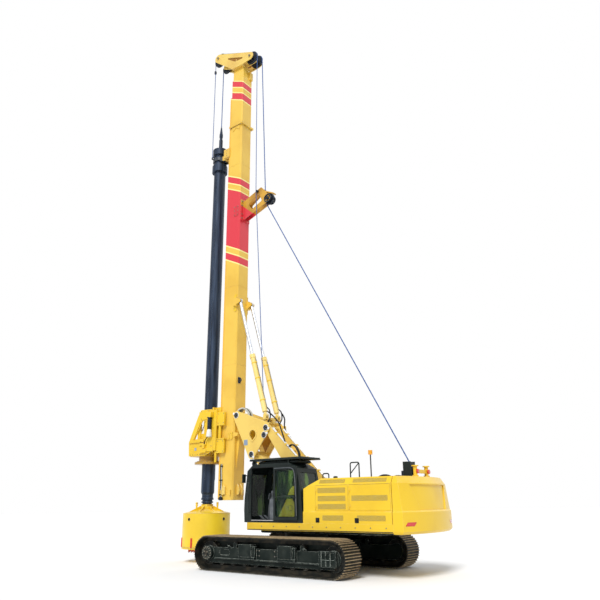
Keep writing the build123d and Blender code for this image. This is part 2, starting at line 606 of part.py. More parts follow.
# Small things on the house: beacon, rest for the folded mast, rope guide
BEACON = (-2780, 700)
with BuildPart() as beacon:
    rod_z(*BEACON, HOOD_TOP + SEAT, HOOD_TOP + 620, 18)
    rod_z(*BEACON, HOOD_TOP + 620, HOOD_TOP + 740, 60)
save(beacon.part, "beacon")
REST_X, REST_Y = -3950, 340
with BuildPart() as mast_rest:
    for side in (-1, 1):
        rod_z(REST_X, side * REST_Y, HOOD_TOP + SEAT, HOOD_TOP + 270, 55)
        rod_z(REST_X, side * REST_Y, HOOD_TOP + 270, HOOD_TOP + 300, 95)
        rod_z(REST_X, side * REST_Y, HOOD_TOP + SEAT, HOOD_TOP + 40, 85)
    box(REST_X - 40, REST_X + 20, -REST_Y, REST_Y, HOOD_TOP + 90, HOOD_TOP + 190)
save(mast_rest.part, "mast_rest")
with BuildPart() as rest_lamps:
    for side in (-1, 1):
        rod_x(REST_X - 95, REST_X - 55 - SEAT, side * REST_Y, HOOD_TOP + 140, 60)
save(rest_lamps.part, "rest_lamps")
GUIDE = (-3590, HOOD_TOP + 280)
with BuildPart() as rope_guide:
    for side in (-1, 1):
        cheek = (
            (-3720, DECK_Z1 + SEAT), (-3560, DECK_Z1 + SEAT), (-3480, HOOD_TOP + 200),
            (-3480, HOOD_TOP + 420), (-3720, HOOD_TOP + 420),
        )
        plate(cheek, side * 110, side * 140)
    box(-3720, -3690, -140, 140, HOOD_TOP + 270, HOOD_TOP + 410)
    rod_y(*GUIDE, -110, 110, 70)
save(rope_guide.part, "rope_guide")

# Boom: tapered box with hubs and the trunnions of the luffing rods
TRUNNION_R, EYE_BORE_R = 40, 75
with BuildPart() as boom:
    hull_plate(((*BOOM_FOOT, 140), (*BOOM_BELLY, 210), (*BOOM_TIP, 120)), -210, 210)
    rod_y(*BOOM_FOOT, -PLATE_Y + HUB_GAP, PLATE_Y - HUB_GAP, 130)
    rod_y(*BOOM_TIP, -PLATE_Y + HUB_GAP, PLATE_Y - HUB_GAP, 120)
    rod_y(*LUFF_EYE, -LUFF_Y + 70, LUFF_Y - 70, 90)
    rod_y(*LUFF_EYE, -LUFF_Y - 45, LUFF_Y + 45, TRUNNION_R)
    rod_y(*BOOM_FOOT, -PLATE_Y, PLATE_Y, PIN_R + FIT, Mode.SUBTRACT)
    rod_y(*BOOM_TIP, -PLATE_Y, PLATE_Y, PIN_R + FIT, Mode.SUBTRACT)
save(boom.part, "boom")

# Link: two deep arms with a belly to the front, tied by a cross box
LINK_Y0, LINK_Y1 = 240, 320
LINK_BELLY = along(LINK_FOOT, LINK_TIP, 0.52, 150)
with BuildPart() as link:
    for side in (-1, 1):
        hull_plate(((*LINK_FOOT, 110), (*LINK_BELLY, 190), (*LINK_TIP, 110)), side * LINK_Y0, side * LINK_Y1)
    for share in (0.3, 0.62):
        tie = along(LINK_FOOT, LINK_TIP, share, 60)
        rod_y(*tie, -LINK_Y0, LINK_Y0, 80)
    for side in (-1, 1):
        rod_y(*LINK_FOOT, side * (LINK_Y0 - 20), side * (PLATE_Y - HUB_GAP), 110)
        rod_y(*LINK_TIP, side * (LINK_Y0 - 20), side * (PLATE_Y - HUB_GAP), 110)
    rod_y(*LINK_FOOT, -PLATE_Y, PLATE_Y, PIN_R + FIT, Mode.SUBTRACT)
    rod_y(*LINK_TIP, -PLATE_Y, PLATE_Y, PIN_R + FIT, Mode.SUBTRACT)
save(link.part, "link")

# Triangle, with the pin on which the carrier of the mast cylinders rocks sideways
REAR_TOP = (1350, 4290)
DROP = (1920, 4050)      # teardrop hole, its point below
CAP_R, CAP_T = 85, 25
with BuildPart() as triangle:
    for side in (-1, 1):
        inner, outer = side * PLATE_Y, side * (PLATE_Y + PLATE_T)
        hull_plate(((*MAST_PIN, 150), (*REAR_TOP, 130), (*LINK_TIP, 150), (*BOOM_TIP, 150)), inner, outer)
        hull_plate(((*DROP, 190), (DROP[0] + 10, DROP[1] - 200, 50)), outer, outer + side * 15)
        hull_plate(((*DROP, 140), (DROP[0] + 10, DROP[1] - 190, 12)), inner, outer + side * 20, Mode.SUBTRACT)
        for x, z in (BOOM_TIP, LINK_TIP, MAST_PIN):
            rod_y(x, z, outer, outer + side * CAP_T, CAP_R)
    # Slotted hose bracket on the far plate
    hose_plate = ((1330, 4250, 60), (1110, 4290, 40), (1110, 3990, 40), (1290, 3980, 40))
    hull_plate(hose_plate, -PLATE_Y - 20, -PLATE_Y)
    hull_plate(((1130, 4230, 22), (1130, 4080, 22)), -PLATE_Y - 21, -PLATE_Y + 1, Mode.SUBTRACT)
    for x, z in (BOOM_TIP, LINK_TIP, MAST_PIN):
        rod_y(x, z, -PLATE_Y, PLATE_Y, PIN_R)
    rod_y(2200, 4430, -PLATE_Y, PLATE_Y, 60)
    rod_y(MCYL_FOOT[0], CARRIER_Z - 130, -PLATE_Y, PLATE_Y, 45)
    for edge in (-95, 70):
        box(MCYL_FOOT[0] + edge, MCYL_FOOT[0] + edge + 25, -50, 50, CARRIER_Z - 140, CARRIER_Z + 45)
    box(MCYL_FOOT[0] - 95, MCYL_FOOT[0] + 95, -50, 50, CARRIER_Z - 150, CARRIER_Z - 80)
    rod_x(MCYL_FOOT[0] - 80, MCYL_FOOT[0] + 80, 0, CARRIER_Z, 30)
save(triangle.part, "triangle")

# Luffing cylinders: barrels on the deck, rods with forked eyes round the boom's trunnions
LUFF_BARREL_R, LUFF_ROD_R = 70, 45
with BuildPart() as luff_barrels:
    for y in (-LUFF_Y, LUFF_Y):
        rod_y(*LUFF_FOOT, y - 60, y + 60, LUFF_BARREL_R)
        rod_between(along(LUFF_FOOT, LUFF_EYE, 0.03), along(LUFF_FOOT, LUFF_EYE, 0.66), y, LUFF_BARREL_R)
        bore = (along(LUFF_FOOT, LUFF_EYE, 0.10), along(LUFF_FOOT, LUFF_EYE, 0.70))
        rod_between(*bore, y, LUFF_ROD_R + FIT, Mode.SUBTRACT)
        rod_y(*LUFF_FOOT, y - 80, y + 80, LUFF_PIN_R + FIT, Mode.SUBTRACT)
save(luff_barrels.part, "luff_barrels")
with BuildPart() as luff_rods:
    for y in (-LUFF_Y, LUFF_Y):
        rod_between(along(LUFF_FOOT, LUFF_EYE, 0.30), along(LUFF_FOOT, LUFF_EYE, 0.93), y, LUFF_ROD_R)
        rod_y(*LUFF_EYE, y - 35, y + 35, 110)
        rod_y(*LUFF_EYE, y - 40, y + 40, EYE_BORE_R, Mode.SUBTRACT)
save(luff_rods.part, "luff_rods")

# Cross between triangle and mast
SPIGOT_R = 80
with BuildPart() as cross:
    rod_y(*MAST_PIN, -PLATE_Y + HUB_GAP, PLATE_Y - HUB_GAP, CROSS_R)
    rod_x(MAST_PIN[0], MAST_PIN[0] + 340, 0, MAST_PIN[1], SPIGOT_R)
    rod_y(*MAST_PIN, -PLATE_Y, PLATE_Y, PIN_R + FIT, Mode.SUBTRACT)
save(cross.part, "mast_cross")

# Carrier of the mast cylinders, barrels and rods
MCYL_PIN_R, MCYL_BARREL_R, MCYL_ROD_R = 35, 90, 55
with BuildPart() as carrier:
    box(MCYL_FOOT[0] - 60, MCYL_FOOT[0] + 60, -MCYL_Y - 100, MCYL_Y + 100, CARRIER_Z - 20, CARRIER_Z + 20)
    box(MCYL_FOOT[0] - 65, MCYL_FOOT[0] + 65, -60, 60, CARRIER_Z - 50, CARRIER_Z + 50)
    rod_x(MCYL_FOOT[0] - 80, MCYL_FOOT[0] + 80, 0, CARRIER_Z, 30 + FIT, Mode.SUBTRACT)
    for y in (-MCYL_Y, MCYL_Y):
        for edge in (-80, 60):
            ear = ((*MCYL_FOOT, 60), (MCYL_FOOT[0], CARRIER_Z + 10, 60))
            hull_plate(ear, y + edge, y + edge + 20)
        rod_y(*MCYL_FOOT, y - 60, y + 60, MCYL_PIN_R)
save(carrier.part, "cylinder_carrier")
with BuildPart() as mast_barrels:
    for y in (-MCYL_Y, MCYL_Y):
        rod_y(*MCYL_FOOT, y - 55, y + 55, 65)
        rod_between(MCYL_FOOT, along(MCYL_FOOT, MCYL_EYE, 0.04), y, 50)
        rod_between(along(MCYL_FOOT, MCYL_EYE, 0.03), along(MCYL_FOOT, MCYL_EYE, 0.50), y, MCYL_BARREL_R)
        rod_between(along(MCYL_FOOT, MCYL_EYE, 0.475), along(MCYL_FOOT, MCYL_EYE, 0.505), y, MCYL_BARREL_R + 15)
        bore = (along(MCYL_FOOT, MCYL_EYE, 0.04), along(MCYL_FOOT, MCYL_EYE, 0.52))
        rod_between(*bore, y, MCYL_ROD_R + FIT, Mode.SUBTRACT)
        rod_y(*MCYL_FOOT, y - 60, y + 60, MCYL_PIN_R + FIT, Mode.SUBTRACT)
save(mast_barrels.part, "mast_barrels")
with BuildPart() as mast_rods:
    for y in (-MCYL_Y, MCYL_Y):
        rod_between(along(MCYL_FOOT, MCYL_EYE, 0.38), along(MCYL_FOOT, MCYL_EYE, 0.98), y, MCYL_ROD_R)
        rod_y(*MCYL_EYE, y - 30, y + 30, 90)
        rod_y(*MCYL_EYE, y - 40, y + 40, 62, Mode.SUBTRACT)
save(mast_rods.part, "mast_rods")


# Mast: chamfered box in two lengths, flanged at the joint
def mast_box(z0, z1, inset=0, mode=Mode.ADD):
    """Mast box between z0 and z1 with chamfered rear edges, its walls set in by inset."""
    cut = MAST_CHAMFER - inset * (2 - sqrt(2))
    x0, x1, half = SLEW_X + MAST_REAR + inset, SLEW_X + MAST_FRONT - inset, MAST_HALF - inset
    with BuildSketch(Plane.XY.offset(z0)) as section:
        with BuildLine():
            Polyline(
                (x1, -half), (x1, half), (x0 + cut, half), (x0, half - cut),
                (x0, -half + cut), (x0 + cut, -half), close=True,
            )
        make_face()
    extrude(section.sketch, amount=z1 - z0, mode=mode)


FLANGE, FLANGE_T = 60, 40
LUG_IN, LUG_T = 65, 25   # lugs beside a mast rod's eye
with BuildPart() as mast_lower:
    mast_box(MAST_Z0, MAST_JOINT)
    mast_box(MAST_Z0 + 20, MAST_JOINT - 20, MAST_WALL, Mode.SUBTRACT)
    f0, f1 = MAST_REAR - FLANGE, MAST_FRONT + FLANGE
    box(f0, f1, -MAST_HALF - FLANGE, MAST_HALF + FLANGE, MAST_JOINT - FLANGE_T, MAST_JOINT)
    hollow = (MAST_REAR + 60, MAST_FRONT - 60, -MAST_HALF + 60, MAST_HALF - 60)
    box(*hollow, MAST_JOINT - 60, MAST_JOINT, Mode.SUBTRACT)
    for side in (-1, 1):
        outer = side * MAST_HALF
        rail = (MAST_FRONT - 1, MAST_FRONT + RAIL_DEPTH, outer - side * RAIL_WIDTH, outer)
        box(*rail, MAST_Z0 + 30, MAST_JOINT - FLANGE_T)
        # Lugs of the mast cylinders on a pad
        for edge in (-1, 1):
            y = side * MCYL_Y + edge * LUG_IN
            root_x = MAST_REAR + 60
            lug = ((*MCYL_EYE, 75), (root_x, MCYL_EYE[1] - 90, 60), (root_x, MCYL_EYE[1] + 90, 60))
            hull_plate(lug, y, y + edge * LUG_T)
        pad = (MAST_REAR - 40, MAST_REAR + 60, side * MCYL_Y - 90, side * MCYL_Y + 90)
        box(*pad, MCYL_EYE[1] - 160, MCYL_EYE[1] + 160)
        rod_y(*MCYL_EYE, side * MCYL_Y - 70, side * MCYL_Y + 70, MCYL_PIN_R)
        # Lock lug, bolt pad, chevron plates of the joint and foot gussets
        lock = ((MAST_REAR - 120, 4120, 50), (MAST_REAR + 60, 4120, 90))
        hull_plate(lock, outer - side * 50, outer - side * 10)
        box(MAST_REAR + 50, MAST_REAR + 330, outer - side, outer + side * 18, 3950, 4210)
        chevron = (
            (MAST_REAR + 60, MAST_JOINT - 40), (MAST_FRONT - 60, MAST_JOINT - 40),
            (MAST_FRONT - 120, MAST_JOINT - 260), (MAST_REAR + 300, MAST_JOINT - 120),
            (MAST_REAR + 120, MAST_JOINT - 260),
        )
        plate(chevron, outer - side, outer + side * 20)
        for x0, x1 in ((MAST_REAR + 70, MAST_REAR + 110), (MAST_FRONT - 110, MAST_FRONT - 70)):
            box(x0, x1, outer - side, outer + side * 45, MAST_Z0 + 150, MAST_Z0 + 330)
    # Block of the cross with its brace down the rear face
    box(MAST_PIN[0] + CROSS_R + 15, MAST_REAR + 100, -200, 200, MAST_PIN[1] - 200, MAST_PIN[1] + 200)
    brace = ((MAST_REAR + 5, 2900), (MAST_REAR - 115, 3750), (MAST_REAR - 115, 4250), (MAST_REAR + 5, 4560))
    plate(brace, -150, 150)
    rod_x(MAST_PIN[0] + 95, MAST_PIN[0] + 345, 0, MAST_PIN[1], SPIGOT_R + FIT, Mode.SUBTRACT)
    rod_z(CROWD_X, 0, 10300, 15900, 80)
    rod_z(CROWD_X, 0, 10200, 15800, 45 + FIT, Mode.SUBTRACT)
    for z in (10500, 15700):
        box(MAST_FRONT - 10, MAST_FRONT + 110, -60, 60, z - 60, z + 60)
save(mast_lower.part, "mast_lower")
NECK_X0, NECK_X1, NECK_HALF = MAST_REAR + 90, MAST_FRONT + 30, 200
with BuildPart() as mast_upper:
    mast_box(MAST_JOINT + SEAT, NECK_Z0)
    with BuildSketch(Plane.XY.offset(NECK_Z0)) as low:
        with Locations((SLEW_X + (MAST_REAR + MAST_FRONT) / 2, 0)):
            Rectangle(MAST_SIZE - 2, MAST_SIZE - 2 * MAST_CHAMFER)
    with BuildSketch(Plane.XY.offset(NECK_Z1)) as high:
        with Locations((SLEW_X + (NECK_X0 + NECK_X1) / 2, 0)):
            Rectangle(NECK_X1 - NECK_X0, 2 * NECK_HALF)
    loft([low.sketch, high.sketch], ruled=True)
    mast_box(MAST_JOINT + 60, NECK_Z0 - 20, MAST_WALL, Mode.SUBTRACT)
    box(f0, f1, -MAST_HALF - FLANGE, MAST_HALF + FLANGE, MAST_JOINT + SEAT, MAST_JOINT + FLANGE_T)
    for side in (-1, 1):
        outer = side * MAST_HALF
        rail = (MAST_FRONT - 1, MAST_FRONT + RAIL_DEPTH, outer - side * RAIL_WIDTH, outer)
        box(*rail, MAST_JOINT + FLANGE_T, RAIL_TOP)
    box(MAST_REAR - 60, MAST_REAR + 60, -260, -100, NECK_Z0 + 50, NECK_Z0 + 420)
save(mast_upper.part, "mast_upper")

# Mast head: three plates on the neck, tied across, and a bracket for the lower sheave
HEAD_FRONT_PIN, HEAD_REAR_PIN = (4360, 20840), (2460, 19980)
LOWER_SHEAVE = (4090, 20360)
HEAD_LINE = (
    (*HEAD_FRONT_PIN, 200), (*HEAD_REAR_PIN, 180), (3040, NECK_Z1 + 90, 110), (3440, NECK_Z1 + 120, 110),
)
HEAD_Y, HEAD_T = 300, 30
BRACKET_Y = 110
with BuildPart() as mast_head:
    for side in (-1, 1):
        hull_plate(HEAD_LINE, side * HEAD_Y, side * (HEAD_Y + HEAD_T))
        slot = ((3720, 20490, 40), (2920, 20110, 40), (3300, 20160, 40))
        hull_plate(slot, side * (HEAD_Y - 1), side * (HEAD_Y + HEAD_T + 1), Mode.SUBTRACT)
        bracket = ((*LOWER_SHEAVE, 110), (3400, 20040, 140), (3700, 20420, 100))
        hull_plate(bracket, side * BRACKET_Y, side * (BRACKET_Y + 25))
        for x, z in (HEAD_FRONT_PIN, HEAD_REAR_PIN):
            rod_y(x, z, side * (HEAD_Y + HEAD_T - 1), side * (HEAD_Y + HEAD_T + 15), 60)
    hull_plate(((*HEAD_REAR_PIN, 150), (3040, NECK_Z1 + 90, 80), (3000, 20150, 100)), -15, 15)
    box(NECK_X0, NECK_X1, -HEAD_Y - HEAD_T, HEAD_Y + HEAD_T, NECK_Z1 + SEAT, NECK_Z1 + 60)
    box(3260, 3300, -HEAD_Y, HEAD_Y, NECK_Z1 + 50, 20250)
    rod_y(3780, 20720, -HEAD_Y - 1, HEAD_Y + 1, 45)
    for x, z, reach in ((*HEAD_FRONT_PIN, HEAD_Y), (*HEAD_REAR_PIN, HEAD_Y), (*LOWER_SHEAVE, BRACKET_Y)):
        rod_y(x, z, -reach - 1, reach + 1, 40)
save(mast_head.part, "mast_head")

# Sheaves with a rope groove: name, pin, y, radius
SHEAVES = (
    ("aux front", HEAD_FRONT_PIN, 160, 330),
    ("main front", LOWER_SHEAVE, 0, 245),
    ("main rear", HEAD_REAR_PIN, -160, 290),
    ("aux rear", HEAD_REAR_PIN, 160, 290),
)
SHEAVE_W, GROOVE = 70, 24


def sheave(x, z, y, r, pin):
    """Wheel of radius r with a rope groove on a pin, in the running BuildPart."""
    with BuildSketch(Plane(origin=(SLEW_X + x, y, z), x_dir=(1, 0, 0), z_dir=(0, 0, 1))) as section:
        half, bore = SHEAVE_W / 2, pin + FIT
        with BuildLine():
            Polyline((bore, -half), (r, -half), (r - GROOVE, 0), (r, half), (bore, half), close=True)
        make_face()
    revolve(section.sketch, axis=Axis((SLEW_X + x, 0, z), (0, 1, 0)))


with BuildPart() as head_sheaves:
    for _, (x, z), y, r in SHEAVES:
        sheave(x, z, y, r, 40)
save(head_sheaves.part, "head_sheaves")

# Bracket for the back rope halfway up the mast, with its sheave and cover
MID_SHEAVE = (1560, 12930)
MID_ROLLER = (1930, 13430)
MID_FOOT = 12700
with BuildPart() as mid_sheave:
    box(MAST_REAR - 30, MAST_REAR - SEAT, -250, 250, MID_FOOT - 350, MID_FOOT + 550)
    for side in (-1, 1):
        arm = (
            (MAST_REAR - 90, MID_FOOT + 420, 80), (*MID_ROLLER, 90),
            (*MID_SHEAVE, 110), (MAST_REAR - 60, MID_FOOT - 260, 50),
        )
        hull_plate(arm, side * 90, side * 115)
        window = ((2480, 12960, 60), (2050, 13230, 60), (1930, 12960, 50), (2350, 12780, 50))
        hull_plate(window, side * 89, side * 116, Mode.SUBTRACT)
    cover = along(MID_SHEAVE, MID_ROLLER, 0.0, -300)
    under = [along(MID_ROLLER, cover, share, -45) for share in (0.0, 1.0)]
    plate((*under, cover, MID_ROLLER), -90, 90)
    box(1700, MID_ROLLER[0] - 60, -35, 35, 13250, 13750, Mode.SUBTRACT)
    rod_y(*MID_SHEAVE, -90, 90, 30)
    rod_y(*MID_ROLLER, -90, 90, 60)
save(mid_sheave.part, "mid_sheave")
with BuildPart() as mid_wheel:
    sheave(*MID_SHEAVE, 0, 215, 30)
save(mid_wheel.part, "mid_wheel")


# Rotary drive on its carriage
def guide_shoes(z0, z1):
    """Shoes that hold the mast's rails from the outside and the front."""
    for side in (-1, 1):
        outer, inner = side * (MAST_HALF + 45), side * (MAST_HALF + SLIDE)
        box(MAST_FRONT + 10, CARRIAGE_X + 1, inner, outer, z0, z1)
        box(MAST_FRONT + RAIL_DEPTH + SLIDE, CARRIAGE_X + 1, side * (MAST_HALF - RAIL_WIDTH), outer, z0, z1)


ROTARY_SIDE = (
    (CARRIAGE_X, 5060), (4350, 5080), (4500, 4860), (4930, 3960), (4900, 3480), (4100, 3460),
    (CARRIAGE_X, 3620),
)
ROTARY_WINDOW = ((4630, 4060), (4270, 4680), (4080, 4680), (4060, 4060))
BODY_Y = ROTARY_Y - 20   # gearbox between the side plates
THROUGH = KELLY_R + 18   # the kelly passes here
with BuildPart() as rotary:
    box(CARRIAGE_X, CARRIAGE_X + 60, -ROTARY_Y - ROTARY_T, ROTARY_Y + ROTARY_T, CARRIAGE_Z0, CARRIAGE_Z1)
    guide_shoes(CARRIAGE_Z0, CARRIAGE_Z1)
    for side in (-1, 1):
        plate(ROTARY_SIDE, side * ROTARY_Y, side * (ROTARY_Y + ROTARY_T))
        plate(ROTARY_WINDOW, side * (ROTARY_Y - 1), side * (ROTARY_Y + ROTARY_T + 1), Mode.SUBTRACT)
        box(CARRIAGE_X, KELLY_X, side * BODY_Y, side * (ROTARY_Y + 1), 3560, 3900)
        rod_z(KELLY_X + 190, side * 320, 3950, 4560, 75)
        rod_z(KELLY_X - 260, side * 320, 3950, 4300, 85)
    with BuildSketch(Plane.XY.offset(3460)):
        with Locations((SLEW_X + (4060 + 4910) / 2, 0)):
            RectangleRounded(4910 - 4060, 2 * ROTARY_Y + 2, 90)
    extrude(amount=3980 - 3460)
    rod_z(KELLY_X, 0, 3970, 4250, 330)
    rod_z(KELLY_X, 0, 4860, 5060, 300)
    for side in (-1, 1):
        box(KELLY_X - 150, KELLY_X + 150, side * 280, side * (ROTARY_Y + 1), 4900, 5020)
    rod_z(CROWD_X, 0, 4980, 10700, 45)
    box(CROWD_X - 70, CARRIAGE_X + 1, -80, 80, 4900, 5100)
    neck = ((ROTARY_Z0, 3260, 500), (3260, 3300, 420), (3300, 3465, 350))
    for z0, z1, r in neck:
        rod_z(KELLY_X, 0, z0, z1, r)
    rod_z(KELLY_X, 0, ROTARY_Z0 - 1, CARRIAGE_Z1, THROUGH, Mode.SUBTRACT)
save(rotary.part, "rotary_drive")

# Kelly guide and swivel
with BuildPart() as kelly_guide:
    box(CARRIAGE_X, CARRIAGE_X + 60, -MAST_HALF - 45, MAST_HALF + 45, GUIDE_Z - 200, GUIDE_Z + 200)
    guide_shoes(GUIDE_Z - 200, GUIDE_Z + 200)
    arm = (
        (CARRIAGE_X + 50, GUIDE_Z - 180), (CARRIAGE_X + 50, GUIDE_Z + 60),
        (KELLY_X, GUIDE_Z + 60), (KELLY_X, GUIDE_Z - 60),
    )
    for side in (-1, 1):
        plate(arm, side * 150, side * 185)
    box(CARRIAGE_X + 50, KELLY_X, -180, 180, GUIDE_Z - 60, GUIDE_Z + 60)
    rod_z(KELLY_X, 0, GUIDE_Z - 60, GUIDE_Z + 60, 300)
    rod_z(KELLY_X, 0, GUIDE_Z - 200, GUIDE_Z + 61, 240 + SLIDE, Mode.SUBTRACT)
save(kelly_guide.part, "kelly_guide")

# Kelly: height from, height to, radius; the open tube's wall ends at KELLY_BORE
KELLY_HEAD = ((KELLY_Z1, 15370, 318), (15370, 15870, 240), (15870, 16150, 313))
KELLY_END = (
    (2060, KELLY_Z0 + 5, 195), (1990, 2060, 215), (1940, 1990, 175), (1890, 1940, 205),
    (COLLAR_Z1 + SEAT, 1890, 165),
)
KEYS, KEY_W, KEY_OUT = 3, 44, 11
SWIVEL = ((0, 150, 60), (150, 550, 78), (550, 700, 60), (700, 850, 75))     # above the head: from, to, radius
with BuildPart() as swivel:
    top = KELLY_HEAD[-1][1] + SEAT
    for z0, z1, r in SWIVEL:
        rod_z(KELLY_X, 0, top + z0, top + z1, r)
save(swivel.part, "kelly_swivel")
with BuildPart() as kelly:
    with BuildSketch(Plane(origin=(SLEW_X + KELLY_X, 0, 0), x_dir=(1, 0, 0), z_dir=(0, -1, 0))):
        with BuildLine():
            Polyline(
                (0, KELLY_Z0), (KELLY_R - 45, KELLY_Z0), (KELLY_R, KELLY_Z0 + 90), (KELLY_R, KELLY_Z1 + 1),
                (0, KELLY_Z1 + 1), close=True,
            )
        make_face()
    revolve(axis=Axis((SLEW_X + KELLY_X, 0, 0), (0, 0, 1)))
    with Locations((SLEW_X + KELLY_X, 0, (KELLY_Z0 + 500 + KELLY_Z1) / 2)):
        with PolarLocations(KELLY_R - 10, KEYS, start_angle=105):
            Box(2 * (KEY_OUT + 10), KEY_W, KELLY_Z1 - KELLY_Z0 - 500)
    for z0, z1, r in KELLY_HEAD + KELLY_END:
        rod_z(KELLY_X, 0, z0, z1, r)
    box(KELLY_X - STUB / 2, KELLY_X + STUB / 2, -STUB / 2, STUB / 2, BUCKET_Z1 + 120, COLLAR_Z1 + 10)
    rod_z(KELLY_X, 0, KELLY_Z0 + 20, KELLY_HEAD[-1][0] + 30, KELLY_BORE, Mode.SUBTRACT)
save(kelly.part, "kelly_bar")

# Bucket: open shell with a square collar for the kelly stub
SLOT_R, POST_R = 450, 360
HOLE_Z = 1370
BARS, BAR_Z0, BAR_Z1 = 8, BUCKET_Z0, BUCKET_Z0 + 300
with BuildPart() as bucket:
    roof = BUCKET_Z1 + ROOF_RISE
    with BuildSketch(Plane.XZ):
        with BuildLine():
            Polyline(
                (0, roof), (180, roof), (BUCKET_R, BUCKET_Z1), (BUCKET_R, BUCKET_Z0),
                (BUCKET_R - BUCKET_WALL, BUCKET_Z0), (BUCKET_R - BUCKET_WALL, BUCKET_Z1 - ROOF_T),
                (180, roof - ROOF_T), (0, roof - ROOF_T), close=True,
            )
        make_face()
    revolve(axis=Axis.Z)
    with PolarLocations(BUCKET_R, 4):
        with Locations(Location((-BUCKET_WALL / 2, 0, HOLE_Z), (0, 90, 0))):
            Cylinder(62, BUCKET_WALL + 16)
            Cylinder(36, BUCKET_WALL + 40, mode=Mode.SUBTRACT)
    with PolarLocations(SLOT_R, 8):
        with Locations((0, 0, BUCKET_Z1 + 70)):
            Box(70, 34, 140, mode=Mode.SUBTRACT)
    with PolarLocations(POST_R, 2, start_angle=45):
        with Locations((0, 0, BUCKET_Z1 + 190)):
            Box(60, 110, 210)
        with Locations(Location((0, 0, BUCKET_Z1 + 230), (0, 90, 0))):
            Cylinder(26, 80, mode=Mode.SUBTRACT)
    with Locations((0, 0, roof + 40)):
        Cylinder(225, 90)
    with Locations((0, 0, (roof - 10 + COLLAR_Z1) / 2)):
        Box(290, 290, COLLAR_Z1 - roof + 10)
    cut_top = COLLAR_Z1 + 10
    with Locations((0, 0, (BUCKET_Z0 + cut_top) / 2)):
        Box(STUB + 1, STUB + 1, cut_top - BUCKET_Z0, mode=Mode.SUBTRACT)
    for y in (-70, 70):
        with Locations((-BUCKET_R - 42, y, BUCKET_Z0 + 35)):
            Box(67, 30, 170)
        with Locations((-BUCKET_R - 32, y, BUCKET_Z0 + 60)):
            Box(86, 30, 120)
    rod_y(-BUCKET_R - 45 - SLEW_X, BUCKET_Z0 - GAP - 20, -85, 85, 14)
save(bucket.part.moved(Location((SLEW_X + KELLY_X, 0, 0))), "bucket_shell")
with BuildPart() as wear_bars:
    with PolarLocations(BUCKET_R, BARS, start_angle=10):
        with Locations((0, 0, (BAR_Z0 + BAR_Z1) / 2)):
            Box(50, 60, BAR_Z1 - BAR_Z0)
    with Locations((0, 0, BUCKET_Z0)):
        Cylinder(BUCKET_R + SEAT, 800, mode=Mode.SUBTRACT)
save(wear_bars.part.moved(Location((SLEW_X + KELLY_X, 0, 0))), "wear_bars")

# Hinged floor with two openings, pilot and two rows of wedge teeth
FLOOR_TOP = BUCKET_Z0 - GAP
FLOOR_LOW = FLOOR_TOP - FLOOR_T
LID_HINGE = (KELLY_X - BUCKET_R - 45, FLOOR_TOP - 20)
TOOTH_W, TOOTH_PITCH, TOOTH_COUNT = 70, 130, 5
TOOTH = ((-45, 5), (60, 5), (75, -70), (95, -150), (45, -130), (-10, -60))     # (out, up) from its foot
with BuildPart() as floor:
    rod_y(*LID_HINGE, -50, 50, 28)
    box(LID_HINGE[0], KELLY_X - BUCKET_R + 30, -50, 50, LID_HINGE[1] - 20, LID_HINGE[1] + 15)
    rod_y(*LID_HINGE, -51, 51, 14 + FIT, Mode.SUBTRACT)
    rod_z(KELLY_X, 0, FLOOR_LOW, FLOOR_TOP, BUCKET_R)
    box(KELLY_X - 500, KELLY_X + 100, 150, 420, FLOOR_LOW - 1, BUCKET_Z0, Mode.SUBTRACT)
    box(KELLY_X - 100, KELLY_X + 500, -420, -150, FLOOR_LOW - 1, BUCKET_Z0, Mode.SUBTRACT)
    for side in (-1, 1):
        for k in range(TOOTH_COUNT):
            x = KELLY_X + side * (150 + TOOTH_PITCH * k)
            foot = (SLEW_X + x - TOOTH_W / 2, side * 60, FLOOR_LOW)
            with BuildSketch(Plane(origin=foot, x_dir=(0, side, 0), z_dir=(side, 0, 0))) as tooth:
                with BuildLine():
                    Polyline(*TOOTH, close=True)
                make_face()
            extrude(tooth.sketch, amount=side * TOOTH_W)
    rod_z(KELLY_X, 0, FLOOR_LOW - 180, FLOOR_LOW + 5, 60)
save(floor.part, "bucket_floor")

# Handrails on the left hood, as front, rear and top; mirror at the cab
RAIL_LINE_Y, TUBE_R = HALF_W - 180, 17
with BuildPart() as handrails:
    for x0, x1, top in ((-1560, -1760, HOOD_TOP + 130), (-2480, -2760, HOOD_TOP + 390)):
        foot = HOOD_TOP + SEAT
        with BuildLine():
            FilletPolyline(
                (SLEW_X + x0, RAIL_LINE_Y, foot), (SLEW_X + x0, RAIL_LINE_Y, top),
                (SLEW_X + x1, RAIL_LINE_Y, top), (SLEW_X + x1, RAIL_LINE_Y, foot), radius=50,
            )
        with BuildSketch(Plane(origin=(SLEW_X + x0, RAIL_LINE_Y, foot), z_dir=(0, 0, 1))):
            Circle(TUBE_R)
        sweep()
    rod_between((-2480, HOOD_TOP + 100), (-2740, HOOD_TOP + 360), RAIL_LINE_Y, TUBE_R - 3)
save(handrails.part, "handrails")
with BuildPart() as mirror:
    arm_z = CAB_ROOF - 335
    box(1105, 1130, HALF_W + SEAT, HALF_W + 120, arm_z, arm_z + 25)
    box(1100, 1130, HALF_W + 100, HALF_W + 240, arm_z - 200, arm_z + 50)
save(mirror.part, "mirror")
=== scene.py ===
"""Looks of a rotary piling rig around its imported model: finishes, small parts, ropes, hoses, floor, lamps, camera.

Lengths are in metres, X forward to the mast, Y to the operator's left, Z up. Sizes of the machine give X from its
slew axis, and `world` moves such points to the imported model's frame.
"""

import logging
from dataclasses import dataclass, field
from enum import Enum
from functools import lru_cache
from math import asin, atan2, cos, hypot, pi, radians, sin
from typing import ClassVar

import bmesh
import bpy
import numpy as np
from mathutils import Matrix

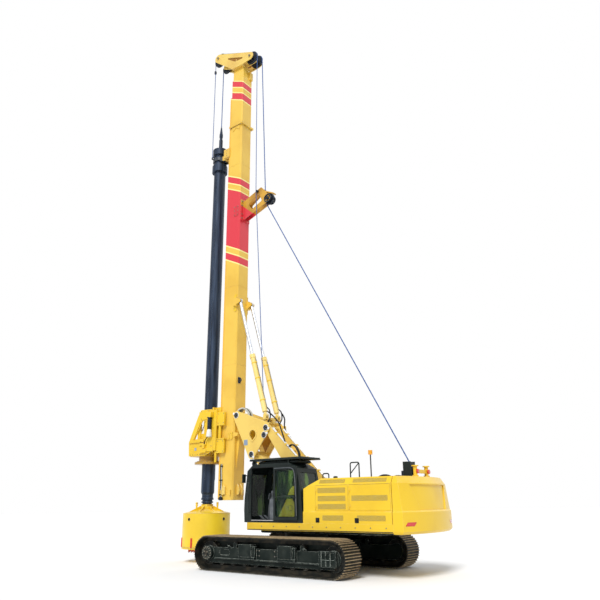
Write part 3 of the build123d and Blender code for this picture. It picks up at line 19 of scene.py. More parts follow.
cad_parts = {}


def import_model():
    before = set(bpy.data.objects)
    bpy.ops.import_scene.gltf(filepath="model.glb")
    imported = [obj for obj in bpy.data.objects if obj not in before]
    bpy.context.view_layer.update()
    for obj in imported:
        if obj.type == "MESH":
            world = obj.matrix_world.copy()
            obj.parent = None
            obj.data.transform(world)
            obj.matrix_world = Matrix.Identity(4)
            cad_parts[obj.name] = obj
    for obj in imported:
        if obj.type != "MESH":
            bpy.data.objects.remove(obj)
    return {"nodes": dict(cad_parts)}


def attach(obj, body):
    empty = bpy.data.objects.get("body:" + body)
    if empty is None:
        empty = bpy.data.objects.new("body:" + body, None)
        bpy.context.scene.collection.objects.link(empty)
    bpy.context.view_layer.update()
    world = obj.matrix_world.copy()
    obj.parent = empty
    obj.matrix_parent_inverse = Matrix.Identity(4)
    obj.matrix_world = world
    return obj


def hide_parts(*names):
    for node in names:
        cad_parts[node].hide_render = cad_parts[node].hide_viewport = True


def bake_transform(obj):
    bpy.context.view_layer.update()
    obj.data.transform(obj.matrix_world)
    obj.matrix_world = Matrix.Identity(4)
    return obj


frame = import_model()
log = logging.getLogger("rig")

Colour = tuple[float, float, float]
Point = tuple[float, float, float]
Pair = tuple[float, float]
Outline = np.ndarray | list[Pair]
Numbers = np.ndarray | list[float]
Socket = bpy.types.NodeSocket
Value = Socket | float | Colour

SLEW_X = -0.41
SIDES = ((1, "left"), (-1, "right"))

# Places in the side view that several sub-assemblies share: X from the slew axis and Z.
KELLY_X = 4.33
MAIN_SHEAVE = (4.09, 20.36)
SPARE_SHEAVE = (4.36, 20.84)
REAR_SHEAVE = (2.46, 19.98)
MID_WHEEL = (1.56, 12.93)
SIDE_ROLLER = (2.07, 13.38)
WINCH = (-3.03, 2.16)
GUIDE_EYE = (4.47, 15.72)


class Body(Enum):
    """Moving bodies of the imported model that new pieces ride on."""

    CAR = "car_body"
    CRAWLER_LEFT = "crawler_left"
    CRAWLER_RIGHT = "crawler_right"
    HOUSE = "house"
    CAB_DOOR = "cab_door"
    LINK = "link"
    TRIANGLE = "triangle"
    MAST = "mast"
    MAST_BARRELS = "mast_barrels"
    ROTARY = "rotary"
    GUIDE = "kelly_guide"
    KELLY = "kelly"
    FLOOR = "bucket_floor"
    DOOR_FRONT_LEFT = "hood_door_front_left"
    DOOR_REAR_LEFT = "hood_door_rear_left"
    DOOR_FRONT_RIGHT = "hood_door_front_right"
    DOOR_REAR_RIGHT = "hood_door_rear_right"


class Axis(Enum):
    """Direction that a section is pushed along or turned about, with the two directions of the section."""

    X = (0, 1, 2)
    Y = (1, 0, 2)
    Z = (2, 0, 1)


# Surfaces


@dataclass
class Shell:
    """Closed surface: points, four-cornered faces, and the faces that cap its ends."""

    points: np.ndarray
    quads: np.ndarray
    caps: list[np.ndarray] = field(default_factory=list)

    def mapped(self, matrix: Matrix | np.ndarray) -> "Shell":
        """Returns the surface turned and shifted by a 4 x 4 matrix, point by matrix product."""
        m = np.array(matrix)
        return Shell(self.points @ m[:3, :3].T + m[:3, 3], self.quads, self.caps)

    def repeated(self, offsets: np.ndarray) -> "Shell":
        """Returns copies: copy k has every point plus row k of the offsets, and its faces count on from copy k - 1."""
        offsets = np.asarray(offsets, float).reshape(-1, 3)
        count = len(self.points)
        points = (offsets[:, None, :] + self.points[None]).reshape(-1, 3)
        steps = np.arange(len(offsets)) * count
        quads = (steps[:, None, None] + self.quads[None]).reshape(-1, 4)
        caps = [cap + step for step in steps for cap in self.caps]
        return Shell(points, quads, caps)


def joined(*shells: Shell) -> Shell:
    """Returns several surfaces as one, each one's faces counting on from the last one's points."""
    starts = np.cumsum([0] + [len(s.points) for s in shells[:-1]])
    points = np.concatenate([s.points for s in shells])
    quads = np.concatenate([s.quads + start for s, start in zip(shells, starts)])
    caps = [cap + start for s, start in zip(shells, starts) for cap in s.caps]
    return Shell(points, quads, caps)


def from_rings(rings: np.ndarray, loop: bool = False) -> Shell:
    """Skins rings of equal count.

    Point j of ring i and of ring i + 1 share a side, and j runs round the ring. The two end rings are capped, unless
    the rings form a loop, where the last ring is skinned to the first.

    Args:
        rings: Array of rings x points x 3.
        loop: Whether the rings close on themselves.

    Returns:
        The closed surface.
    """
    count, width = rings.shape[:2]
    i = np.arange(count if loop else count - 1)[:, None]
    j = np.arange(width)[None, :]
    after, beside = (i + 1) % count, (j + 1) % width
    quads = np.stack([i * width + j, i * width + beside, after * width + beside, after * width + j], -1).reshape(-1, 4)
    caps = [] if loop else [np.arange(width)[::-1], np.arange((count - 1) * width, count * width)]
    return Shell(rings.reshape(-1, 3), quads, caps)


def rounded_rectangle(u: Pair, v: Pair, radius: float, steps: int = 2) -> np.ndarray:
    """Outline of a rectangle with round corners, counter-clockwise.

    Corner k has its centre one radius inside both sides; its points are the centre plus radius times (cos a, sin a),
    with a from k to k + 1 quarter turns.

    Args:
        u: Low and high limit of the first direction.
        v: Low and high limit of the second direction.
        radius: Radius of the corners.
        steps: Steps in a corner.

    Returns:
        Rows of (u, v).
    """
    right, left, top, low = u[1] - radius, u[0] + radius, v[1] - radius, v[0] + radius
    centres = np.array([(right, top), (left, top), (left, low), (right, low)])
    angles = (np.arange(4)[:, None] + np.linspace(0, 1, steps + 1)[None, :]) * pi / 2
    return (centres[:, None, :] + radius * np.stack([np.cos(angles), np.sin(angles)], -1)).reshape(-1, 2)


def unit(rows: np.ndarray) -> np.ndarray:
    """Rows scaled to length 1."""
    return rows / np.linalg.norm(rows, axis=-1, keepdims=True)


def drawn_in(outline: np.ndarray, amount: float) -> np.ndarray:
    """Moves every side of an outline inwards by an amount.

    A corner moves by amount * (n1 + n2) / (1 + n1 . n2), where n1 and n2 are the inward normals of its two sides.
    """
    ahead = unit(np.roll(outline, -1, axis=0) - outline)
    turning = np.sum(outline * np.roll(outline, -1, axis=0)[:, ::-1] * np.array([1, -1]))
    inward = np.stack([-ahead[:, 1], ahead[:, 0]], -1) * (1 if turning > 0 else -1)
    before = np.roll(inward, 1, axis=0)
    return outline + amount * (inward + before) / (1 + np.sum(inward * before, axis=1, keepdims=True))


def prism(outline: Outline, low: float, high: float, axis: Axis = Axis.Y, edge: float = 0.0) -> Shell:
    """Pushes an outline along an axis, with the rims of both ends chamfered.

    Rings are the outline drawn in by the edge at low and high, and the full outline one edge further in.

    Args:
        outline: Rows of the section's two directions.
        low: Start along the axis.
        high: End along the axis.
        axis: The axis.
        edge: Size of the chamfer.

    Returns:
        The closed surface.
    """
    outline = np.asarray(outline, float)
    rows = [(low, edge), (low + edge, 0.0), (high - edge, 0.0), (high, edge)] if edge else [(low, 0.0), (high, 0.0)]
    ahead, first, second = axis.value
    rings = np.zeros((len(rows), len(outline), 3))
    for ring, (height, inset) in zip(rings, rows):
        section = drawn_in(outline, inset) if inset else outline
        ring[:, ahead], ring[:, first], ring[:, second] = height, section[:, 0], section[:, 1]
    return from_rings(rings)


def block(x: Pair, y: Pair, z: Pair, radius: float = 0.006, edge: float = 0.004, axis: Axis = Axis.Y) -> Shell:
    """Block between limits with round corners round an axis and chamfered ends."""
    limits = (x, y, z)
    ahead, first, second = axis.value
    return prism(rounded_rectangle(limits[first], limits[second], radius), *limits[ahead], axis, edge)


def turned(
    profile: Outline, centre: Point, axis: Axis = Axis.Z, sides: int = 24, loop: bool = False, out: int = 1
) -> Shell:
    """Turns a profile about an axis.

    Point (a, r) of the profile goes to centre + out * a along the axis + r * (cos t, sin t) across it, t round the
    circle.

    Args:
        profile: Rows of (distance along the axis, radius).
        centre: Point on the axis where the distance is zero.
        axis: The axis.
        sides: Points round the circle.
        loop: Whether the profile closes on itself, as a ring's section does.
        out: 1 or -1, the way along the axis in which the distances count.

    Returns:
        The closed surface.
    """
    profile = np.asarray(profile, float)
    angles = np.arange(sides) * 2 * pi / sides
    ahead, first, second = axis.value
    rings = np.zeros((len(profile), sides, 3))
    rings[..., ahead] = out * profile[:, None, 0]
    rings[..., first] = profile[:, None, 1] * np.cos(angles)
    rings[..., second] = profile[:, None, 1] * np.sin(angles)
    return from_rings(rings + np.asarray(centre, float), loop)


def hoop(centre: Point, radius: float, tube: float, axis: Axis, sides: int = 28) -> Shell:
    """Ring of round section: a circle of the tube's radius turned about an axis at the ring's radius."""
    angles = np.arange(8) * pi / 4
    profile = np.stack([tube * np.sin(angles), radius + tube * np.cos(angles)], -1)
    return turned(profile, centre, axis, sides, loop=True)


def smooth_line(points: list[Point], per_run: int = 8) -> np.ndarray:
    """Smooth line through points.

    Between points P1 and P2, with neighbours P0 and P3, the place at t is the Catmull-Rom cubic
    (2 P1 + (P2 - P0) t + (2 P0 - 5 P1 + 4 P2 - P3) t^2 + (3 P1 - P0 - 3 P2 + P3) t^3) / 2.

    Args:
        points: The points, the end ones with a mirrored neighbour.
        per_run: Samples between two points.

    Returns:
        Rows of X, Y, Z.
    """
    p = np.asarray(points, float)
    p = np.concatenate([2 * p[:1] - p[1:2], p, 2 * p[-1:] - p[-2:-1]])
    u = np.linspace(0, len(points) - 1, per_run * (len(points) - 1) + 1)
    i = np.minimum(u.astype(int), len(points) - 2)
    t = (u - i)[:, None]
    a, b, c, d = p[i], p[i + 1], p[i + 2], p[i + 3]
    return (2 * b + (c - a) * t + (2 * a - 5 * b + 4 * c - d) * t**2 + (3 * b - a - 3 * c + d) * t**3) / 2


def frames(path: np.ndarray, side: Point) -> tuple[np.ndarray, np.ndarray]:
    """Two directions across a path at each point: one square to the path and a fixed side, one square to both."""
    ahead = unit(np.gradient(path, axis=0))
    across = unit(np.cross(ahead, np.asarray(side, float)))
    return across, np.cross(ahead, across)


def swept(path: np.ndarray, radii: np.ndarray, side: Point = (0, 1, 0)) -> Shell:
    """Skin round a path: at angle t its distance from the path is the radius there, along (cos t, sin t).

    Args:
        path: Rows of X, Y, Z.
        radii: Radius for each point of the path and each angle, the angles spread evenly over a turn.
        side: A direction that the path never runs along.

    Returns:
        The closed surface.
    """
    across, over = frames(path, side)
    angles = np.arange(radii.shape[1]) * 2 * pi / radii.shape[1]
    circle = across[:, None] * np.cos(angles)[None, :, None] + over[:, None] * np.sin(angles)[None, :, None]
    return from_rings(path[:, None] + radii[..., None] * circle)


def hose(
    points: list[Point], radius: float, per_run: int = 8, sides: int = 10, ribs: float = 0.0, side: Point = (0, 1, 0)
) -> Shell:
    """Hose or bent pipe through points whose X is from the slew axis.

    Its radius at sample k is radius + ribs * cos(pi k), so that ribs and grooves take turns.

    Args:
        points: The points that it passes through.
        radius: Mean radius.
        per_run: Samples between two points, 1 for straight runs.
        sides: Points round the hose.
        ribs: Half height of the ribs.
        side: A direction that the hose never runs along.

    Returns:
        The closed surface.
    """
    path = shifted(smooth_line(points, per_run))
    radii = radius + ribs * np.cos(np.arange(len(path)) * pi)
    return swept(path, np.broadcast_to(radii[:, None], (len(path), sides)), side)


def stranded(path: np.ndarray, radius: float, lay: float, strands: int = 6) -> Shell:
    """Wire rope along a path.

    At distance s along the path and angle t, its radius is radius * (0.93 + 0.07 cos(strands t - 2 pi s / lay)).

    Args:
        path: Rows of X, Y, Z, closer together than half a lay.
        radius: Outer radius of the rope.
        lay: Length of one turn of a strand.
        strands: Strands of the rope.

    Returns:
        The closed surface.
    """
    length = np.concatenate([[0], np.cumsum(np.linalg.norm(np.diff(path, axis=0), axis=1))])
    angles = np.arange(2 * strands) * pi / strands
    wave = np.cos(strands * angles[None, :] - 2 * pi * length[:, None] / lay)
    return swept(path, radius * (0.93 + 0.07 * wave))


def bead(points: np.ndarray, up: Point, radius: float | np.ndarray) -> Shell:
    """Closed bead along a flat loop of points: 6-sided circles between the way out from the loop's middle and up.

    Args:
        points: Rows of X, Y, Z, all at one distance along up.
        up: Direction square to the loop.
        radius: One radius, or one for each point.

    Returns:
        The closed surface.
    """
    away = unit(points - (points.min(0) + points.max(0)) / 2)
    t = np.arange(6)[None, :, None] * pi / 3
    r = np.asarray(radius, float).reshape(-1, 1, 1)
    return from_rings(points[:, None] + r * (np.cos(t) * away[:, None] + np.sin(t) * np.asarray(up, float)), loop=True)


def heads(centres: np.ndarray, axis: Axis, across: float = 0.03, out: int = 1) -> Shell:
    """Hexagon heads on washers: a 6-sided turned profile repeated at centres.

    Args:
        centres: Rows of X, Y, Z on the face that the bolts sit on.
        axis: Axis of the bolts.
        across: Width of a head.
        out: 1 or -1, the side of the face that the heads stand on.

    Returns:
        The closed surfaces.
    """
    r, h = across / 2, across * 0.6
    profile = [(-0.002, 0.8 * r), (0, 1.35 * r), (0.25 * h, 1.35 * r), (0.3 * h, r), (0.85 * h, r), (h, 0.8 * r)]
    return turned(profile, (0, 0, 0), axis, 6, out=out).repeated(centres)


def circle_of(centre: Point, radius: float, count: int, axis: Axis, start: float = 0.0) -> np.ndarray:
    """Points on a circle round an axis: centre + radius * (cos t, sin t) across the axis."""
    t = start + np.arange(count) * 2 * pi / count
    _, first, second = axis.value
    places = np.tile(np.asarray(centre, float), (count, 1))
    places[:, first] += radius * np.cos(t)
    places[:, second] += radius * np.sin(t)
    return places


def grid_of(x: Numbers, y: Numbers, z: Numbers) -> np.ndarray:
    """Every point whose X from the slew axis, Y and Z are in three lists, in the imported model's frame."""
    return shifted(np.stack(np.meshgrid(x, y, z, indexing="ij"), -1).reshape(-1, 3))


def side_heads(side: int, x: Numbers, y: float, z: Numbers, across: float) -> Shell:
    """Hexagon heads on a face that is y out of the middle on one side, at every X from the slew axis and Z."""
    return heads(grid_of(x, [side * y], z), Axis.Y, across, side)


def level(points: list[Pair], y: float) -> list[Point]:
    """Side-view points at one Y."""
    return [(x, y, z) for x, z in points]


def world(x: float, y: float, z: float) -> Point:
    """Point whose X is from the slew axis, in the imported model's frame."""
    return (SLEW_X + x, y, z)


def shifted(points: Outline | list[Point]) -> np.ndarray:
    """Rows whose first number is X from the slew axis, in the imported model's frame."""
    rows = np.array(points, float)
    rows[:, 0] += SLEW_X
    return rows


def from_slew(low: float, high: float) -> Pair:
    """Limits of X from the slew axis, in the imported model's frame."""
    return (SLEW_X + low, SLEW_X + high)


def outward(side: int, low: float, high: float) -> Pair:
    """Limits of Y from low to high out of the middle, on the left (1) or on the right (-1)."""
    return (low, high) if side > 0 else (-high, -low)


def swung(point: Point, angle: float, about: str = "Y") -> Matrix:
    """Matrix that turns by an angle in radians about an axis, then shifts to a point whose X is from the slew axis."""
    return Matrix.Translation(world(*point)) @ Matrix.Rotation(angle, 4, about)


def between(start: Pair, end: Pair, share: float, aside: float = 0.0) -> Pair:
    """Side-view point between two points, set aside to the right of the way from start to end."""
    dx, dz = end[0] - start[0], end[1] - start[1]
    out = aside / hypot(dx, dz)
    return (start[0] + dx * share + dz * out, start[1] + dz * share - dx * out)


def slope(start: Pair, end: Pair) -> float:
    """Angle in radians of the way from start to end in the side view, from X towards Z."""
    return atan2(end[1] - start[1], end[0] - start[0])


# Finishes


class Nodes:
    """Nodes of a material or a world."""

    def __init__(self, owner: bpy.types.Material | bpy.types.World) -> None:
        """Empties the owner's node tree."""
        owner.use_nodes = True
        self.tree = owner.node_tree
        self.tree.nodes.clear()

    def node(self, kind: str, inputs: dict[int | str, Value], **settings: str | int) -> bpy.types.Node:
        """Adds a node.

        Args:
            kind: Blender's name of the node type after ShaderNode.
            inputs: Value or socket for each input, by index or name.
            settings: Properties of the node.

        Returns:
            The node.
        """
        node = self.tree.nodes.new(f"ShaderNode{kind}")
        for key, value in settings.items():
            setattr(node, key, value)
        for key, value in inputs.items():
            self.feed(node.inputs[key], value)
        return node

    def feed(self, target: Socket, value: Value) -> None:
        """Links a socket to an input, or sets a constant on it."""
        if isinstance(value, Socket):
            self.tree.links.new(value, target)
        elif isinstance(value, tuple) and target.type == "RGBA":
            target.default_value = (*value, 1.0)
        else:
            target.default_value = value

    def math(self, operation: str, first: Value, second: Value = 0.0) -> Socket:
        """Adds a Math node and returns its result."""
        return self.node("Math", {0: first, 1: second}, operation=operation).outputs[0]


class Tree(Nodes):
    """Nodes of one material, on Object coordinates."""

    def __init__(self, name: str) -> None:
        """Starts a material with a shader, its output, the coordinates and the true normal."""
        self.material = bpy.data.materials.new(name)
        super().__init__(self.material)
        self.shader = self.node("BsdfPrincipled", {})
        self.node("OutputMaterial", {0: self.shader.outputs[0]})
        self.place = self.node("TexCoord", {}).outputs["Object"]
        self.x, self.y, self.z = self.node("SeparateXYZ", {0: self.place}).outputs
        self.normal = self.node("NewGeometry", {}).outputs["Normal"]

    def times(self, first: Value, second: Value) -> Socket:
        """Returns the product of two values."""
        return self.math("MULTIPLY", first, second)

    def plus(self, first: Value, second: Value) -> Socket:
        """Returns the sum of two values."""
        return self.math("ADD", first, second)

    def scaled(self, value: Value, factor: float, offset: float) -> Socket:
        """Returns value * factor + offset."""
        return self.plus(self.times(value, factor), offset)

    def dot(self, first: Value, second: Value) -> Socket:
        """Returns the dot product of two vectors."""
        return self.node("VectorMath", {0: first, 1: second}, operation="DOT_PRODUCT").outputs["Value"]

    def noise(self, scale: float, detail: float = 3.0, stretch: Point = (1, 1, 1)) -> Socket:
        """Adds noise with features of 1 / scale metres, stretched by Mapping, and returns its value."""
        spot = self.node("Mapping", {"Vector": self.place, "Scale": stretch}).outputs[0]
        return self.node("TexNoise", {"Vector": spot, "Scale": scale, "Detail": detail}).outputs["Fac"]

    def ramp(self, value: Value, low: float, high: float) -> Socket:
        """Maps a value to 0 at low and 1 at high, smoothly, and returns it."""
        inputs = {"Value": value, "From Min": low, "From Max": high}
        return self.node("MapRange", inputs, interpolation_type="SMOOTHSTEP").outputs[0]

    def patches(self, scale: float, detail: float, low: float, high: float) -> Socket:
        """Returns noise mapped to 0 at low and 1 at high."""
        return self.ramp(self.noise(scale, detail), low, high)

    def mix(self, share: Value, first: Value, second: Value) -> Socket:
        """Mixes two colours and returns the result."""
        node = self.node("Mix", {0: share}, data_type="RGBA")
        self.feed(node.inputs[6], first)
        self.feed(node.inputs[7], second)
        return node.outputs[2]

    def soft_normal(self, radius: float) -> Socket:
        """Adds rounding of edges by a radius and returns the normal."""
        return self.node("Bevel", {"Radius": radius}, samples=4).outputs[0]

    def edges(self, rounded: Socket) -> Socket:
        """Returns 1 on edges: one less the dot product of the true and the rounded normal, scaled up."""
        return self.ramp(self.dot(self.normal, rounded), 0.985, 0.93)

    def rubbed_lit_edges(self, rounded: Socket, scale: float, high: float, amount: float) -> Socket:
        """Returns the share of pale edge, partly wear and partly painted highlight: edges, broken up by noise that
        reaches 1 at high, times an amount.
        """
        return self.times(self.edges(rounded), self.times(self.patches(scale, 3, 0.3, high), amount))

    def upward(self) -> Socket:
        """Returns the upward part of the true normal."""
        return self.node("SeparateXYZ", {0: self.normal}).outputs[2]

    def bump(self, height: Value, depth: float, normal: Socket | None = None) -> None:
        """Feeds the shader's normal by a bump of a depth in metres over a normal."""
        inputs = {"Height": height, "Distance": depth, "Strength": 1.0}
        if normal is not None:
            inputs["Normal"] = normal
        self.feed(self.shader.inputs["Normal"], self.node("Bump", inputs).outputs[0])

    def set(self, **values: Value) -> None:
        """Sets constants or sockets on the shader's inputs, with underscores for spaces."""
        for key, value in values.items():
            self.feed(self.shader.inputs[key.replace("_", " ")], value)


@dataclass(frozen=True)
class Finish:
    """A finish with a name and a base colour."""

    name: str
    colour: Colour
    slot: str = ""

    def build(self) -> bpy.types.Material:
        """Builds the material and returns it."""
        tree = Tree(self.name)
        self.fill(tree)
        return tree.material

    def fill(self, tree: Tree) -> None:
        """Adds the finish's nodes and sets the shader's inputs."""
        raise NotImplementedError


@dataclass(frozen=True)
class Paint(Finish):
    """Sprayed paint: mottled in tone, orange-peel bump, dust on upward faces, pale edges that are partly wear and
    partly painted highlight.
    """

    shade: Colour = (0.7, 0.45, 0.04)
    # Edge colour: partly worn paint, partly painted highlight along the edges.
    edge: Colour = (0.95, 0.82, 0.42)
    worn: float = 0.55
    dust: Colour = (0.75, 0.68, 0.50)
    dusty: float = 0.25
    roughness: float = 0.34
    coat: float = 0.15
    gloss: float = 0.35
    rounding: float = 0.008

    def tint(self, tree: Tree) -> Socket:
        """Returns the colour before dust and wear: two tones mixed by soft noise."""
        return tree.mix(tree.patches(0.9, 4, 0.40, 0.72), self.colour, self.shade)

    def fill(self, tree: Tree) -> None:
        """Adds the paint."""
        rounded = tree.soft_normal(self.rounding)
        patch = tree.patches(2.6, 5, 0.45, 0.75)
        settled = tree.times(tree.times(tree.ramp(tree.upward(), 0.2, 0.95), patch), self.dusty)
        # Pale edges: partly wear, partly painted highlight.
        worn = tree.rubbed_lit_edges(rounded, 14, 0.6, self.worn)
        colour = tree.mix(settled, self.tint(tree), self.dust)
        tree.set(Base_Color=tree.mix(worn, colour, self.edge))
        rough = tree.scaled(tree.noise(7, 4), 0.16, self.roughness - 0.08)
        tree.set(Roughness=tree.plus(rough, tree.times(settled, 0.5)), Specular_IOR_Level=self.gloss)
        tree.set(Coat_Weight=self.coat, Coat_Roughness=0.12)
        tree.bump(tree.noise(120, 2), 0.0004, rounded)


@dataclass(frozen=True)
class MastPaint(Paint):
    """Mast paint with slanting red bands that have pale borders, and a deeper orange on the front rails that is painted
    shade.
    """

    red: Colour = (0.68, 0.035, 0.055)
    border: Colour = (0.93, 0.80, 0.28)
    rail: Colour = (0.78, 0.40, 0.03)
    front: float = 3.04
    fall: float = 0.5
    border_width: float = 0.055
    bands: tuple[Pair, ...] = ((18.88, 19.15), (18.25, 18.56), (14.19, 14.457), (11.40, 13.87), (10.815, 11.087))

    def tint(self, tree: Tree) -> Socket:
        """Returns the paint with bands: a band is where z + fall * (front - x) lies between two heights."""
        back = tree.math("SUBTRACT", self.front, tree.x)
        height = tree.plus(tree.z, tree.times(back, self.fall))
        red, wide = 0.0, 0.0
        for low, high in self.bands:
            middle, half = (low + high) / 2, (high - low) / 2
            red = tree.plus(red, self.within(tree, height, middle, half))
            wide = tree.plus(wide, self.within(tree, height, middle, half + self.border_width))
        # Deeper orange in front of the mast's front face: painted shade on the front rails.
        rail = tree.times(tree.math("GREATER_THAN", tree.x, self.front + 0.004), 0.6)
        plain = tree.mix(rail, super().tint(tree), self.rail)
        return tree.mix(red, tree.mix(wide, plain, self.border), self.red)

    @staticmethod
    def within(tree: Tree, height: Socket, middle: float, half: float) -> Socket:
        """Returns 1 where a height is within half of a middle."""
        return tree.node("Math", {0: height, 1: middle, 2: half}, operation="COMPARE").outputs[0]


@dataclass(frozen=True)
class ZonedPaint(Paint):
    """Paint with a second colour beyond a plane: where the place, times a direction, passes a limit."""

    zone: Colour = (0.68, 0.035, 0.055)
    direction: Point = (1, 0, 0)
    limit: float = 0.0

    def tint(self, tree: Tree) -> Socket:
        """Returns the two colours on both sides of the limit."""
        beyond = tree.math("GREATER_THAN", tree.dot(tree.place, self.direction), self.limit)
        return tree.mix(beyond, super().tint(tree), self.zone)


@dataclass(frozen=True)
class Metal(Finish):
    """Bare or oiled metal: fine lengthwise streaks in tone, roughness and bump, bright edges that are partly wear and
    partly painted highlight.
    """

    shade: Colour = (0.02, 0.03, 0.05)
    edge: Colour = (0.35, 0.38, 0.42)
    worn: float = 0.5
    metallic: float = 0.7
    roughness: float = 0.35
    stretch: Point = (1, 1, 0.08)
    scale: float = 9.0
    grain: float = 0.0006
    gloss: float = 0.3

    def fill(self, tree: Tree) -> None:
        """Adds the metal."""
        rounded = tree.soft_normal(0.006)
        streak = tree.noise(self.scale, 4, self.stretch)
        # Bright edges: partly wear, partly painted highlight.
        worn = tree.times(tree.edges(rounded), self.worn)
        colour = tree.mix(tree.ramp(streak, 0.35, 0.7), self.colour, self.shade)
        tree.set(Base_Color=tree.mix(worn, colour, self.edge), Metallic=self.metallic, Specular_IOR_Level=self.gloss)
        tree.set(Roughness=tree.scaled(streak, 0.25, self.roughness - 0.12))
        tree.bump(tree.noise(self.scale * 12, 3, self.stretch), self.grain, rounded)


@dataclass(frozen=True)
class Dusty(Finish):
    """Dark cast or welded steel with dried mud: brown patches by noise, thicker on upward faces, pale edges that are
    partly wear and partly painted highlight.
    """

    mud: Colour = (0.30, 0.22, 0.13)
    muddy: float = 0.6
    edge: Colour = (0.52, 0.52, 0.44)
    worn: float = 0.7
    roughness: float = 0.62
    scale: float = 3.0
    rounding: float = 0.01
    gloss: float = 0.12

    def fill(self, tree: Tree) -> None:
        """Adds the steel."""
        rounded = tree.soft_normal(self.rounding)
        patch = tree.noise(self.scale, 6)
        cover = tree.plus(tree.ramp(patch, 0.42, 0.68), tree.times(tree.ramp(tree.upward(), 0.1, 0.9), 0.45))
        cover = tree.times(tree.math("MINIMUM", cover, 1.0), self.muddy)
        # Pale edges: partly wear, partly painted highlight.
        worn = tree.rubbed_lit_edges(rounded, 9, 0.55, self.worn)
        colour = tree.mix(cover, self.colour, self.mud)
        tree.set(Base_Color=tree.mix(worn, colour, self.edge), Specular_IOR_Level=self.gloss)
        tree.set(Roughness=tree.scaled(cover, 0.25, self.roughness - 0.1))
        tree.bump(tree.noise(45, 6), 0.0025, rounded)


@dataclass(frozen=True)
class Shoes(Finish):
    """Track shoes: dark muddy plates and pale grouser tips, told apart by distance from the axles' line; the pale tips
    are partly rubbed steel, partly painted light on the lit outer faces.
    """

    mud: Colour = (0.045, 0.038, 0.026)
    lit_rubbed_tip: Colour = (0.50, 0.38, 0.23)
    ground_tip: Colour = (0.62, 0.60, 0.52)
    half_base: float = 2.25
    axle: float = 0.485
    tip_reach: Pair = (0.452, 0.476)
    ground_reach: Pair = (0.045, 0.02)

    def fill(self, tree: Tree) -> None:
        """Adds the steel: distance = hypot(max(|x| - half base, 0), z - axle), with x from the track's middle."""
        from_middle = tree.math("ABSOLUTE", tree.math("SUBTRACT", tree.x, SLEW_X))
        past = tree.math("MAXIMUM", tree.math("SUBTRACT", from_middle, self.half_base), 0.0)
        drop = tree.math("SUBTRACT", tree.z, self.axle)
        square = tree.plus(tree.times(past, past), tree.times(drop, drop))
        tips = tree.ramp(tree.math("SQRT", square), *self.tip_reach)
        ground = tree.ramp(tree.z, *self.ground_reach)
        # Pale tips: partly rubbed steel, partly painted light on the outer faces.
        rubbed_and_lit = tree.times(tips, tree.scaled(tree.patches(14, 4, 0.3, 0.6), 0.5, 0.5))
        plate = tree.mix(tree.patches(5, 5, 0.4, 0.65), self.colour, self.mud)
        tree.set(Base_Color=tree.mix(rubbed_and_lit, plate, tree.mix(ground, self.lit_rubbed_tip, self.ground_tip)))
        tree.set(Roughness=tree.scaled(rubbed_and_lit, 0.2, 0.55), Specular_IOR_Level=0.15)
        tree.bump(tree.noise(45, 6), 0.0025, tree.soft_normal(0.008))


@dataclass(frozen=True)
class Rubber(Finish):
    """Rubber or plastic with a fine grain and worn lighter spots."""

    shade: Colour = (0.05, 0.05, 0.05)
    roughness: float = 0.55
    scale: float = 160.0
    grain: float = 0.0005

    def fill(self, tree: Tree) -> None:
        """Adds the rubber."""
        tree.set(Base_Color=tree.mix(tree.patches(8, 4, 0.4, 0.7), self.colour, self.shade))
        tree.set(Roughness=tree.scaled(tree.noise(20, 3), 0.2, self.roughness - 0.1))
        tree.set(Specular_IOR_Level=0.2)
        tree.bump(tree.noise(self.scale, 2), self.grain)


@dataclass(frozen=True)
class Fabric(Finish):
    """Woven cloth: threads as two crossed sine waves that bump the surface and tint it."""

    shade: Colour = (0.06, 0.065, 0.07)
    thread: float = 0.004

    def fill(self, tree: Tree) -> None:
        """Adds the cloth."""
        waves = [tree.math("SINE", tree.times(value, 2 * pi / self.thread)) for value in (tree.x, tree.y)]
        weave = tree.scaled(tree.times(*waves), 0.5, 0.5)
        tone = tree.mix(weave, self.colour, self.shade)
        tree.set(Base_Color=tree.mix(tree.patches(12, 4, 0.35, 0.75), tone, self.shade))
        tree.set(Roughness=0.9, Sheen_Weight=0.3)
        tree.bump(weave, 0.0008)


@dataclass(frozen=True)
class Mesh(Finish):
    """Painted perforated sheet: round holes in staggered rows, drawn dark as painted shade behind them, on a plane of X
    and Z.
    """

    shade: Colour = (0.60, 0.43, 0.07)
    # Colour of the holes: painted shade behind the sheet.
    hole_shade: Colour = (0.16, 0.11, 0.02)
    pitch: float = 0.022

    def fill(self, tree: Tree) -> None:
        """Adds the sheet: a hole is where the cosines of the two slanting row directions add up to over a limit, and
        takes the dark colour of painted shade.
        """
        turn = 2 * pi / self.pitch
        slants = [tree.math(op, tree.x, tree.z) for op in ("ADD", "SUBTRACT")]
        waves = [tree.math("COSINE", tree.times(slant, turn)) for slant in slants]
        hole_shade = tree.ramp(tree.plus(*waves), 0.35, 0.75)
        paint = tree.mix(tree.patches(6, 4, 0.4, 0.75), self.colour, self.shade)
        tree.set(Base_Color=tree.mix(hole_shade, paint, self.hole_shade), Roughness=0.5)
        tree.bump(tree.math("SUBTRACT", 1.0, hole_shade), 0.002)


